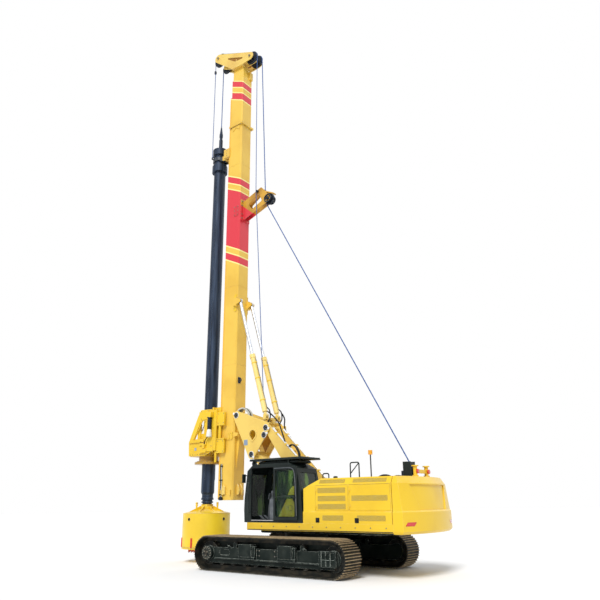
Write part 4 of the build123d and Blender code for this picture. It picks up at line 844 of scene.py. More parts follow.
@dataclass(frozen=True)
class Pane(Finish):
    """Tinted window glass: dark green with paler upright streaks that are painted reflections, faint dust, glossy and
    part clear.
    """

    streak: Colour = (0.13, 0.25, 0.05)
    dust: Colour = (0.25, 0.32, 0.22)
    alpha: float = 0.78

    def fill(self, tree: Tree) -> None:
        """Adds the glass."""
        # Paler upright streaks: painted reflections on the glass.
        streaks = tree.times(tree.ramp(tree.noise(5, 4, (1, 1, 0.18)), 0.50, 0.66), 0.8)
        haze = tree.times(tree.patches(3, 5, 0.55, 0.8), 0.25)
        tree.set(Base_Color=tree.mix(haze, tree.mix(streaks, self.colour, self.streak), self.dust))
        tree.set(Alpha=tree.scaled(haze, 0.3, self.alpha), Specular_IOR_Level=0.25)
        tree.set(Roughness=tree.scaled(haze, 0.3, 0.05))


@dataclass(frozen=True)
class Lens(Finish):
    """Lamp lens: moulded ribs under a glossy surface."""

    rib: float = 0.012

    def fill(self, tree: Tree) -> None:
        """Adds the lens: ribs are a sine wave of Y + Z."""
        wave = tree.math("SINE", tree.times(tree.plus(tree.y, tree.z), 2 * pi / self.rib))
        share = tree.ramp(wave, -1, 1)
        deep = tuple(c * 0.6 for c in self.colour)
        tree.set(Base_Color=tree.mix(share, deep, self.colour), Coat_Weight=0.8)
        tree.set(Roughness=tree.scaled(share, 0.1, 0.08))
        tree.bump(share, 0.0008)


YELLOW = Paint("yellow_paint", (0.83, 0.545, 0.022), "yellow", shade=(0.76, 0.48, 0.018))
MAST_YELLOW = MastPaint("mast_paint", (0.82, 0.53, 0.075), "yellow", shade=(0.74, 0.45, 0.055), worn=0.12)
BUCKET_YELLOW = Paint("bucket_paint", (0.90, 0.65, 0.035), "yellow", shade=(0.80, 0.54, 0.03), worn=0.7)
# Paler yellow for the mast cylinders' barrels: painted highlight.
HIGHLIT_CREAM = Paint("cream_painted_highlight", (0.88, 0.68, 0.24), "yellow", shade=(0.83, 0.60, 0.16))
PALE_YELLOW = Paint("pale_yellow_paint", (0.82, 0.58, 0.13), "yellow", shade=(0.72, 0.46, 0.10), worn=0.8)
# Mid bracket paint: its brownish two-tone yellow is painted shade; the red zone below the slanting plane is its red
# base.
SHADED_BRACKET_PAINT = ZonedPaint(
    "bracket_paint_shaded", (0.66, 0.36, 0.04), "yellow", shade=(0.38, 0.18, 0.02),
    zone=(0.66, 0.035, 0.05), direction=(0.89, 0, -1), limit=-10.83,
)
# Dark brown for sheets inside the triangle and the mast head: painted shade.
PAINTED_SHADE_BROWN = Paint("painted_shade", (0.36, 0.17, 0.02), shade=(0.28, 0.12, 0.015), gloss=0.1)
GUIDE_PAINT = ZonedPaint("guide_paint", (0.74, 0.46, 0.075), "yellow", zone=(0.03, 0.04, 0.055), limit=3.60)
# Rotary drive paint, brown below z 3.45 on its underside flange: painted shade.
SHADED_DRIVE_PAINT = ZonedPaint(
    "drive_paint_shaded_below", (0.83, 0.545, 0.03), "yellow", shade=(0.76, 0.48, 0.022),
    zone=(0.40, 0.22, 0.025), direction=(0, 0, -1), limit=-3.45,
)
TEETH_PAINT = ZonedPaint(
    "teeth_paint", (0.82, 0.55, 0.05), "yellow", dusty=0.5,
    zone=(0.62, 0.05, 0.03), direction=(0, 0, -1), limit=-0.345,
)
RED = Paint("red_paint", (0.70, 0.03, 0.02), "red", shade=(0.60, 0.03, 0.02), edge=(0.85, 0.25, 0.12), dusty=0.1)
PAD_RED = Paint("pad_paint", (0.66, 0.035, 0.05), "red", shade=(0.58, 0.03, 0.045), edge=(0.85, 0.3, 0.25))
BLACK = Paint(
    "black_paint", (0.010, 0.015, 0.014), "black", shade=(0.018, 0.025, 0.023), edge=(0.16, 0.19, 0.17), worn=0.5,
    dust=(0.10, 0.12, 0.11), dusty=0.35, roughness=0.45, coat=0.0, gloss=0.18,
)
WHITE = Paint("white_paint", (0.80, 0.80, 0.78), shade=(0.70, 0.71, 0.70), edge=(0.9, 0.9, 0.9), worn=0.2)
PLATE_BLUE = Paint(
    "blank_plate", (0.24, 0.31, 0.42), shade=(0.30, 0.36, 0.45), edge=(0.6, 0.65, 0.7), roughness=0.3,
)
PANEL_YELLOW = Paint(
    "side_panel_paint", (0.88, 0.80, 0.04), shade=(0.75, 0.72, 0.04), edge=(0.10, 0.13, 0.03), gloss=0.15,
)
BEACON_PAINT = ZonedPaint(
    "beacon_finish", (0.02, 0.02, 0.02), "amber", shade=(0.03, 0.03, 0.03), roughness=0.25, dusty=0.0,
    zone=(0.82, 0.36, 0.02), direction=(0, 0, 1), limit=3.12,
)
FRAME_STEEL = Dusty(
    "frame_paint", (0.008, 0.013, 0.011), "dark", mud=(0.035, 0.042, 0.036), edge=(0.62, 0.68, 0.60), worn=0.75,
)
ROLLER_STEEL = Dusty("roller_steel", (0.010, 0.012, 0.011), "dark", mud=(0.07, 0.06, 0.045), scale=8)
SHOE_STEEL = Shoes("shoe_steel", (0.012, 0.013, 0.011), "steel")
# Kelly steel: its paler lengthwise streaks stand for sky highlights along the bar, painted highlights.
KELLY_STEEL = Metal(
    "kelly_steel", (0.016, 0.025, 0.044), "blue_black", shade=(0.040, 0.060, 0.100),
    metallic=0.35, roughness=0.42, gloss=0.2,
)
SHEAVE_STEEL = Metal(
    "sheave_steel", (0.018, 0.022, 0.030), "dark", metallic=0.4, roughness=0.45, stretch=(1, 1, 1), gloss=0.2,
)
CHROME = Metal(
    "chromed_rod", (0.52, 0.55, 0.60), "chrome", shade=(0.66, 0.68, 0.72), edge=(0.8, 0.8, 0.8),
    metallic=0.85, roughness=0.3, grain=0.0001,
)
BOLT_STEEL = Metal(
    "bolt_steel", (0.30, 0.26, 0.18), shade=(0.16, 0.13, 0.09), metallic=0.6, roughness=0.5, stretch=(1, 1, 1),
)
# Rope steel: its blue colour stands for the sky reflected in the wires, a painted reflection.
ROPE_STEEL = Metal(
    "rope_steel", (0.07, 0.15, 0.38), shade=(0.04, 0.08, 0.24), edge=(0.2, 0.3, 0.5),
    metallic=0.2, roughness=0.6, stretch=(1, 1, 1), scale=30, gloss=0.1,
)
CAST_IRON = Dusty("engine_iron", (0.02, 0.024, 0.02), "dark", mud=(0.06, 0.05, 0.04), muddy=0.3)
HOSE = Rubber("hose_rubber", (0.010, 0.011, 0.012), shade=(0.03, 0.03, 0.03))
PALE_HOSE = Rubber("pale_sleeve", (0.62, 0.62, 0.56), shade=(0.42, 0.42, 0.38))
SEAL = Rubber("window_seal", (0.008, 0.009, 0.009), "black", shade=(0.02, 0.02, 0.02))
PLASTIC = Rubber("console_plastic", (0.10, 0.11, 0.12), "black", shade=(0.16, 0.17, 0.18), roughness=0.5, scale=300)
ARM_REST = Rubber("arm_rest", (0.45, 0.28, 0.12), shade=(0.36, 0.22, 0.10), scale=300)
SEAT_CLOTH = Fabric("seat_cloth", (0.035, 0.038, 0.045), "fabric")
GRILLE = Mesh("grille_sheet", (0.62, 0.42, 0.04), "yellow")
GLASS = Pane("tinted_glass", (0.006, 0.016, 0.011), "glass", alpha=0.86)
DOOR_GLASS = Pane("door_glass", (0.006, 0.020, 0.014), "glass", alpha=0.36)
RED_LENS = Lens("red_lens", (0.75, 0.015, 0.012), "red")
CLEAR_LENS = Lens("clear_lens", (0.75, 0.77, 0.78))


@lru_cache(maxsize=None)
def material_of(finish: Finish) -> bpy.types.Material:
    """Builds a finish's material once."""
    return finish.build()


# Pieces


def placed(name: str, data: bpy.types.ID) -> bpy.types.Object:
    """Makes an object of a mesh, lamp or camera in the scene."""
    item = bpy.data.objects.new(name, data)
    bpy.context.scene.collection.objects.link(item)
    return item


def mesh_of(name: str, shell: Shell, finish: bpy.types.Material) -> bpy.types.Mesh:
    """Makes a mesh of a surface, with its material."""
    mesh = bpy.data.meshes.new(name)
    mesh.from_pydata(shell.points.tolist(), [], shell.quads.tolist() + [cap.tolist() for cap in shell.caps])
    mesh.materials.append(finish)
    return mesh


class Assembly:
    """A sub-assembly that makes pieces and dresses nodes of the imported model.

    Its home is the body that a piece rides on where no other body is named.
    """

    home: ClassVar[Body | None] = None

    def dress(self, finish: Finish, *nodes: str) -> None:
        """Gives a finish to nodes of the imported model, on every material slot they have."""
        for name in nodes:
            mesh = frame["nodes"][name].data
            mesh.materials.clear()
            mesh.materials.append(material_of(finish))
            log.info("dressed %s with %s", name, finish.name)

    def piece(
        self, name: str, shell: Shell | list[Shell], finish: Finish, body: Body | None = None, crease: float = 32
    ) -> bpy.types.Object:
        """Makes an object of a surface.

        Args:
            name: Name of the piece.
            shell: Its surface, or several that make it up.
            finish: Its finish.
            body: Body it rides on instead of home. Without either, it rides on no body.
            crease: Angle in degrees over which an edge stays sharp.

        Returns:
            The object.
        """
        shell = joined(*shell) if isinstance(shell, list) else shell
        mesh = mesh_of(name, shell, material_of(finish))
        mesh.validate()
        self.turn_out(mesh)
        mesh.shade_smooth()
        mesh.set_sharp_from_angle(angle=radians(crease))
        piece = placed(name, mesh)
        body = body or self.home
        if body is not None:
            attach(piece, body.value)
        log.info("made %s of %d points", name, len(shell.points))
        return piece

    @staticmethod
    def turn_out(mesh: bpy.types.Mesh) -> None:
        """Recalculates the normals so that every closed surface faces outwards."""
        work = bmesh.new()
        work.from_mesh(mesh)
        bmesh.ops.recalc_face_normals(work, faces=work.faces)
        work.to_mesh(mesh)
        work.free()

    def build(self) -> None:
        """Makes the sub-assembly's pieces and dresses its nodes."""
        raise NotImplementedError


@dataclass
class Undercarriage(Assembly):
    """Crawlers, car body and slew ring."""

    gauge: float = 3.35
    shoe_width: float = 0.75
    wheelbase: float = 4.5
    axle: float = 0.485
    frame_face: float = 0.195
    web_height: float = 0.77
    ring: float = 0.61
    ring_top: float = 1.01
    hub_recess: float = 0.06
    cap_recess: float = 0.03

    def build(self) -> None:
        """Dresses the crawlers, and adds hub bolts, hub caps, lifting eyes, guard ribs, webs and ring bolts."""
        self.dress(SHOE_STEEL, "track_left", "track_right")
        self.dress(ROLLER_STEEL, "wheels_left", "wheels_right")
        self.dress(FRAME_STEEL, "track_frame_left", "track_frame_right", "car_body", "slew_ring")
        for side, name in SIDES:
            body = Body(f"crawler_{name}")
            self.final_drive(side, body, name)
            self.frame_trim(side, body, name)
        bolts = circle_of(world(0, 0, self.ring_top), self.ring, 40, Axis.Z)
        self.piece("slew_ring_bolts", heads(bolts, Axis.Z, 0.034), BOLT_STEEL, Body.CAR)

    def final_drive(self, side: int, body: Body, name: str) -> None:
        """Adds the bolt circle, cap and oil plugs of the front hub on one side."""
        outer = (self.gauge + self.shoe_width) / 2
        hub = world(self.wheelbase / 2, side * (outer - self.hub_recess), self.axle)
        face = world(self.wheelbase / 2, side * (outer - self.cap_recess), self.axle)
        bolts = heads(circle_of(hub, 0.16, 14, Axis.Y), Axis.Y, 0.03, side)
        plugs = heads(circle_of(face, 0.07, 3, Axis.Y, 0.6), Axis.Y, 0.04, side)
        cap = turned([(-0.001, 0.1), (0, 0.112), (0.006, 0.112), (0.01, 0.1)], face, Axis.Y, 28, out=side)
        self.piece(f"hub_bolts_{name}", [bolts, plugs], BOLT_STEEL, body)
        self.piece(f"hub_cap_{name}", cap, ROLLER_STEEL, body)

    def frame_trim(self, side: int, body: Body, name: str) -> None:
        """Adds lifting eyes, ribs of the rear guard, cover bolts and the inner web of one track frame."""
        face = self.gauge / 2 + self.frame_face
        bow = [(-0.05, 0.0, 0.66), (-0.03, 0.05, 0.70), (0.03, 0.05, 0.70), (0.05, 0.0, 0.66)]
        eyes = [
            hose([(x + ahead, side * (face + out), z) for ahead, out, z in bow], 0.013, sides=8, side=(0, 0, 1))
            for x in (-1.33, 1.43)
        ]
        self.piece(f"frame_eyes_{name}", eyes, FRAME_STEEL, body)
        ribs = [
            block(from_slew(x, x + 0.03), outward(side, face + 0.008, face + 0.096), (0.31, 0.66), 0.004)
            for x in (-2.2, -2.06, -1.92)
        ]
        self.piece(f"guard_ribs_{name}", ribs, FRAME_STEEL, body)
        bolts = side_heads(side, [-0.38, -0.28, 0.28, 0.38], face, [0.47, 0.60], 0.026)
        self.piece(f"cover_bolts_{name}", bolts, BOLT_STEEL, body)
        reach, half = self.wheelbase / 2 + 0.36, self.web_height / 2
        outline = rounded_rectangle(from_slew(-reach, reach), (self.axle - half, self.axle + half), half - 0.005, 8)
        middle = side * self.gauge / 2
        web = prism(outline, middle - 0.012, middle + 0.012, Axis.Y, 0.004)
        self.piece(f"frame_web_{name}", web, FRAME_STEEL, body)


@dataclass(frozen=True)
class HoodDoor:
    """Door of a hood: which end, its limits from the slew axis, and its grilles' places as shares of its height."""

    end: str
    front: float
    rear: float
    grilles: tuple[float, ...]


@dataclass
class House(Assembly):
    """Deck, hoods with doors, counterweight, winch and small parts on top."""

    home = Body.HOUSE
    door_y: float = 1.45
    half_width: float = 1.48
    door_low: float = 1.655
    door_height: float = 0.66
    hood_top: float = 2.51
    bevel_low: Pair = (1.45, 2.33)
    bevel_high: Pair = (1.34, 2.51)
    latch_x: Pair = (-1.475, -2.737)
    drum_width: float = 0.735
    drum_radius: float = 0.301
    drum_turns: int = 26
    rope_radius: float = 0.014
    doors: tuple[HoodDoor, ...] = (
        HoodDoor("front", -1.400, -2.455, (0.72, 0.40, 0.08)),
        HoodDoor("rear", -2.505, -3.740, (0.40,)),
    )

    def build(self) -> None:
        """Dresses the house, and adds grilles, latches, the drum's winding and the trim."""
        self.dress(YELLOW, "deck", "hood_left", "hood_right", "counterweight", "mast_rest", "boom_support")
        self.dress(YELLOW, *(f"hood_door_{door.end}_{name}" for door in self.doors for _, name in SIDES))
        self.dress(CAST_IRON, "engine", "hydraulic_tank")
        self.dress(SHEAVE_STEEL, "main_winch")
        self.dress(BLACK, "rope_guide", "handrails")
        self.dress(RED_LENS, "tail_lamps", "rest_lamps")
        self.dress(BEACON_PAINT, "beacon")
        self.grilles()
        self.latches()
        self.winding()
        self.trim()

    def grilles(self) -> None:
        """Adds perforated sheets over the louvres of doors, lower bands and roof bevels."""
        for side, name in SIDES:
            bands = []
            for door in self.doors:
                heights = [self.door_low + share * self.door_height for share in door.grilles]
                x = (door.rear + 0.07, door.front - 0.07)
                sheets = [self.sheet(x, self.door_y, side, (z - 0.015, z + 0.122)) for z in heights]
                body = Body(f"hood_door_{door.end}_{name}")
                self.piece(f"door_grille_{door.end}_{name}", sheets, GRILLE, body)
                bands.append(self.sheet((door.rear + 0.14, door.front - 0.24), self.half_width, side, (1.405, 1.54)))
            self.piece(f"band_grilles_{name}", bands, GRILLE)
            self.piece(f"bevel_grilles_{name}", self.bevel_sheets(side), GRILLE)

    @staticmethod
    def sheet(x: Pair, y: float, side: int, z: Pair) -> Shell:
        """Returns a thin sheet that stands 4 mm out of a side face."""
        outline = rounded_rectangle(from_slew(*x), z, 0.012)
        return prism(outline, *outward(side, y - 0.001, y + 0.004), Axis.Y, 0.0015)

    def bevel_sheets(self, side: int) -> list[Shell]:
        """Returns sheets laid on the bevel between side and roof.

        A flat sheet's Y runs up the bevel, along the unit way w from its low to its high edge, and its Z stands out
        of it along (w_z, |w_y|) in Y and Z.
        """
        way = unit(np.subtract(self.bevel_high, self.bevel_low))
        place = np.eye(4)
        place[1:3, 1] = side * way[0], way[1]
        place[1:3, 2] = side * way[1], abs(way[0])
        place[:3, 3] = SLEW_X, side * self.bevel_low[0], self.bevel_low[1]
        flats = [rounded_rectangle((door.rear + 0.10, door.front - 0.10), (0.045, 0.165), 0.012) for door in self.doors]
        return [prism(flat, -0.001, 0.004, Axis.Z, 0.0015).mapped(place) for flat in flats]

    def latches(self) -> None:
        """Adds square black latches with a paddle on the lower bands."""
        y = self.half_width
        for side, name in SIDES:
            cover, paddle, parts = outward(side, y - 0.002, y + 0.012), outward(side, y + 0.010, y + 0.022), []
            for x in self.latch_x:
                parts.append(block(from_slew(x - 0.062, x + 0.062), cover, (1.352, 1.476), 0.012))
                parts.append(block(from_slew(x - 0.035, x + 0.035), paddle, (1.385, 1.452), 0.008))
            self.piece(f"latches_{name}", parts, SEAL)

    def winding(self) -> None:
        """Adds the rope on the winch drum: a profile of half circles, one for each turn, turned about Y."""
        t = np.linspace(0, self.drum_turns, self.drum_turns * 6 + 1)
        out = self.drum_radius + self.rope_radius * 1.9 * np.abs(np.sin(pi * t)) ** 0.8
        outside = np.stack([(t / self.drum_turns - 0.5) * self.drum_width, out], -1)
        inside = outside[::-1] * np.array([1, 0]) + np.array([0, self.drum_radius - 0.011])
        rope = turned(np.concatenate([outside, inside]), world(WINCH[0], 0, WINCH[1]), Axis.Y, 40, loop=True)
        self.piece("drum_winding", rope, SHEAVE_STEEL)

    def trim(self) -> None:
        """Adds belly guard, exhaust, filler cap, deck edge strips and deck bolts."""
        belly = block(from_slew(-3.3, 0.95), (-1.15, 1.15), (1.035, 1.119), 0.2, 0.02, Axis.Z)
        self.piece("belly_guard", belly, FRAME_STEEL)
        pipe = [(0, 0.05), (0.01, 0.07), (0.22, 0.07), (0.235, 0.062), (0.235, 0.05), (0.05, 0.05)]
        self.piece("exhaust", turned(pipe, world(-2.9, -1.0, self.hood_top)), SHEAVE_STEEL)
        cap = [(0, 0.05), (0.012, 0.062), (0.05, 0.062), (0.062, 0.05), (0.066, 0.02)]
        self.piece("filler_cap", turned(cap, world(-1.75, 0.95, self.hood_top)), BLACK)
        for side, name in SIDES:
            strip = block(from_slew(-3.79, 1.08), outward(side, 1.47, 1.482), (1.128, 1.15), 0.004, 0.002)
            self.piece(f"deck_strip_{name}", strip, BLACK)
            bolts = side_heads(side, np.arange(-3.6, 1.0, 0.46), self.half_width, [1.235], 0.026)
            self.piece(f"deck_bolts_{name}", bolts, BOLT_STEEL)


@dataclass
class Cab(Assembly):
    """Cab with seals, wiper, lamps, rails, seat, levers and door trim."""

    home = Body.HOUSE
    roof: float = 2.985
    left: float = 1.48
    right: float = 0.50
    middle: float = 0.99
    floor: float = 1.381
    door_face: float = 1.546
    guard: float = 0.14
    back_lean: float = radians(-97)

    def build(self) -> None:
        """Dresses the cab and adds its trim, seat and controls."""
        self.dress(BLACK, "cab_shell", "cab_wall_left", "cab_wall_right", "cab_guard", "cab_door", "mirror")
        self.dress(GLASS, "cab_glass")
        self.dress(DOOR_GLASS, "cab_door_glass")
        self.dress(PLASTIC, "console")
        self.seals()
        self.seat()
        self.controls()
        self.roof_trim()
        self.door_trim()
        self.outside()

    def seals(self) -> None:
        """Adds rubber seals round the window openings, the doorway and the door's pane."""
        top = self.roof - 0.235
        seals = [
            self.seal((-0.70, -0.06), (1.90, top), self.left - 0.009),
            self.seal((-0.70, 0.96), (1.80, top), self.right + 0.009),
            self.seal((0.09, 0.96), (1.40, self.roof - 0.105), self.left, 0.04),
        ]
        self.piece("window_seals", seals, SEAL)
        pane = self.seal((-0.736, -0.026), (1.49, self.roof - 0.195), self.door_face)
        self.piece("door_seal", pane, SEAL, Body.CAB_DOOR)

    @staticmethod
    def seal(x: Pair, z: Pair, y: float, radius: float = 0.03) -> Shell:
        """Returns a rubber bead along a rounded rectangle of the side view, at one Y."""
        outline = shifted(rounded_rectangle(x, z, radius, 4))
        return bead(np.insert(outline, 1, y, axis=1), (0, 1, 0), 0.011)

    def seat(self) -> None:
        """Replaces the plain seat by a bellows base, two cushions, a headrest and armrests."""
        folds = [(0.09 + 0.04 * k, 0.15 if k % 2 == 0 else 0.19) for k in range(5)]
        profile = [(0.0, 0.17), (0.02, 0.20), (0.06, 0.20), *folds, (0.30, 0.19), (0.34, 0.17), (0.37, 0.17)]
        self.piece("seat_base", turned(profile, world(-0.05, self.middle, self.floor)), SEAL)
        for name, size, (x, z), lean in (
            ("seat_cushion", (0.275, 0.225, 0.115), (-0.075, 1.812), 0.0),
            ("seat_back", (0.33, 0.22, 0.10), (-0.345, 2.17), self.back_lean),
            ("seat_head", (0.09, 0.12, 0.08), (-0.375, 2.44), self.back_lean),
        ):
            cushion = self.cushion(*size).mapped(swung((x, self.middle, z), lean))
            self.piece(name, cushion, SEAT_CLOTH, crease=60)
        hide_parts("seat")
        arms = [
            block(from_slew(-0.32, 0.04), (y - 0.03, y + 0.03), (1.99, 2.03), 0.015, 0.01)
            for y in (self.middle - 0.20, self.middle + 0.20)
        ]
        self.piece("seat_arms", arms, ARM_REST)

    @staticmethod
    def cushion(length: float, width: float, height: float) -> Shell:
        """Crowned cushion about the origin.

        Ring v, from -90 to 90 degrees, is a superellipse of half length and half width times cos(v)^0.35, at height
        half * sin(v). Between the corners the sides draw in by 3 percent, and cross channels dent the top by
        a cosine of X.

        Args:
            length: Half length along X.
            width: Half width along Y.
            height: Full height.

        Returns:
            The closed surface.
        """
        v = np.linspace(-pi / 2 + 0.02, pi / 2 - 0.02, 25)[:, None]
        u = (np.arange(56) * 2 * pi / 56)[None, :]
        shape = np.cos(v) ** 0.35
        cu, su = np.cos(u), np.sin(u)
        pull = 1 - 0.03 * np.cos(2 * u) ** 2
        x = length * pull * np.sign(cu) * np.abs(cu) ** 0.45 * shape
        y = width * pull * np.sign(su) * np.abs(su) ** 0.45 * shape
        crown = 1 - 0.25 * ((x / length) ** 2 + (y / width) ** 2) / 2
        channel = 0.006 * np.cos(2 * pi * x / (length * 0.55)) * np.maximum(np.sin(v), 0)
        z = height / 2 * np.sin(v) * crown + channel
        return from_rings(np.stack([x, y, z], -1))

    def controls(self) -> None:
        """Adds lever boots and knobs, a screen on its stalk, pedals and a floor mat."""
        parts = []
        boot = [(0, 0.045), (0.012, 0.04), (0.024, 0.045), (0.036, 0.034), (0.048, 0.038), (0.06, 0.022)]
        knob = [(0.155, 0.012), (0.165, 0.026), (0.20, 0.03), (0.225, 0.024), (0.235, 0.01)]
        for y in (self.middle - 0.32, self.middle + 0.32):
            parts += [turned(profile, world(0.28, y, 1.981)) for profile in (boot, knob)]
        y = self.middle - 0.26
        screen = block((0, 0.03), (-0.13, 0.13), (-0.09, 0.09), 0.012, 0.006, Axis.X)
        parts.append(screen.mapped(swung((0.78, y, 2.06), radians(-12))))
        foot = self.floor + 0.001
        parts.append(hose([(0.80, y, 2.05), (0.90, y - 0.02, 1.8), (0.95, y - 0.04, foot)], 0.018, 1))
        for y in (self.middle - 0.1, self.middle + 0.1):
            pedal = block((-0.09, 0.09), (-0.05, 0.05), (0, 0.012), 0.012, 0.003, Axis.Z)
            parts.append(pedal.mapped(swung((0.86, y, 1.46), radians(-35))))
            parts.append(hose([(0.86, y, 1.455), (0.91, y, 1.42), (0.93, y, foot)], 0.01, 1))
        self.piece("controls", parts, PLASTIC)
        y = (self.right + 0.12, self.left - 0.12)
        mat = block(from_slew(-0.3, 1.0), y, (self.floor - 0.0005, self.floor + 0.008), 0.05, 0.002, Axis.Z)
        self.piece("floor_mat", mat, SEAL)

    def roof_trim(self) -> None:
        """Adds the rails of the roof guard, the raised roof panel, and two lamps on the front edge."""
        rail_z, rails = self.roof + self.guard, []
        for y in (self.right + 0.06, self.middle - 0.16, self.middle + 0.16, self.left - 0.06):
            line = [(-0.93, y, rail_z + 0.002), (0.0, y, rail_z + 0.004), (1.07, y, rail_z + 0.002)]
            rails.append(hose(line, 0.017, 1, 8))
        for x in (-0.9, -0.4, 0.1, 0.6, 1.04):
            line = [(x, self.right + 0.02, rail_z), (x, self.left - 0.02, rail_z)]
            rails.append(hose(line, 0.017, 1, 8, side=(1, 0, 0)))
        self.piece("guard_rails", rails, BLACK)
        y = (self.right + 0.10, self.left - 0.10)
        hatch = block(from_slew(-0.72, 0.84), y, (self.roof - 0.004, self.roof + 0.075), 0.14, 0.03, Axis.Z)
        self.piece("roof_hatch", hatch, BLACK)
        places = [world(1.03, y, self.roof + 0.03) for y in (self.right + 0.16, self.left - 0.16)]
        for name, profile, finish in (
            ("cab_lamps", [(-0.10, 0.03), (-0.09, 0.055), (-0.01, 0.07), (0.0, 0.07), (0.0, 0.062)], BLACK),
            ("cab_lamp_lenses", [(-0.004, 0.064), (0.002, 0.060), (0.006, 0.04), (0.008, 0.012)], CLEAR_LENS),
        ):
            self.piece(name, [turned(profile, place, Axis.X) for place in places], finish)

    def door_trim(self) -> None:
        """Adds the moulding along the door's edge in pale grey plastic as a painted highlight, the bar across its pane
        and its handle.
        """
        y = self.door_face
        rim = [(-0.80, 1.52), (-0.775, 2.1), (-0.74, 2.62), (-0.66, 2.80), (-0.45, 2.835), (0.02, 2.835)]
        # Pale grey moulding: painted highlight along the door's edge.
        edge = hose(level(rim, y + 0.006), 0.010, sides=8, side=(0, 1, 0.001))
        self.piece("door_edge", edge, PLASTIC, Body.CAB_DOOR)
        half = [(-0.32, 0.009, 2.02), (-0.30, 0.039, 2.03)]
        bow = half + [(0.0, 0.054, 2.06)] + [(-x, out, z) for x, out, z in half[::-1]]
        bar = hose([(x - 0.40, y + out, z) for x, out, z in bow], 0.012, 6, 8, side=(0, 0, 1))
        self.piece("door_bar", bar, BLACK, Body.CAB_DOOR)
        handle = block(from_slew(-0.79, -0.68), (y + 0.02, y + 0.044), (1.99, 2.03), 0.008, 0.006)
        self.piece("door_handle", handle, SEAL, Body.CAB_DOOR)

    def outside(self) -> None:
        """Adds grab rail, wiper, the yellow side panels with their ring, and the white sill strip."""
        y = self.left
        line = [(1.02, y, 1.62), (1.02, y + 0.06, 1.66), (1.02, y + 0.06, 2.40), (1.02, y, 2.44)]
        self.piece("grab_rail", hose(line, 0.014, 6, side=(1, 0, 0)), BLACK)
        wiper = hose([(1.246, 0.72, 1.62), (1.243, 0.86, 1.95), (1.222, 0.98, 2.28)], 0.009, 1, 6, side=(1, 0, 0))
        self.piece("wiper", wiper, SEAL)
        low = [(-0.06, 1.43), (-0.40, 1.98), (-0.60, 1.98), (-0.73, 1.80), (-0.73, 1.56), (-0.62, 1.43)]
        high = [(-0.44, 2.08), (-0.52, 2.24), (-0.62, 2.32), (-0.73, 2.34), (-0.73, 2.08)]
        panels = [prism(shifted(outline), y - 0.0005, y + 0.006, Axis.Y, 0.003) for outline in (low, high)]
        self.piece("side_panel", panels, PANEL_YELLOW)
        rim = hoop(world(-0.53, y + 0.007, 1.73), 0.075, 0.006, Axis.Y, 24)
        self.piece("panel_ring", rim, SEAL)
        sill = block(from_slew(0.10, 0.95), (y - 0.055, y + 0.012), (1.385, 1.399), 0.004, 0.003)
        self.piece("door_sill", sill, WHITE)


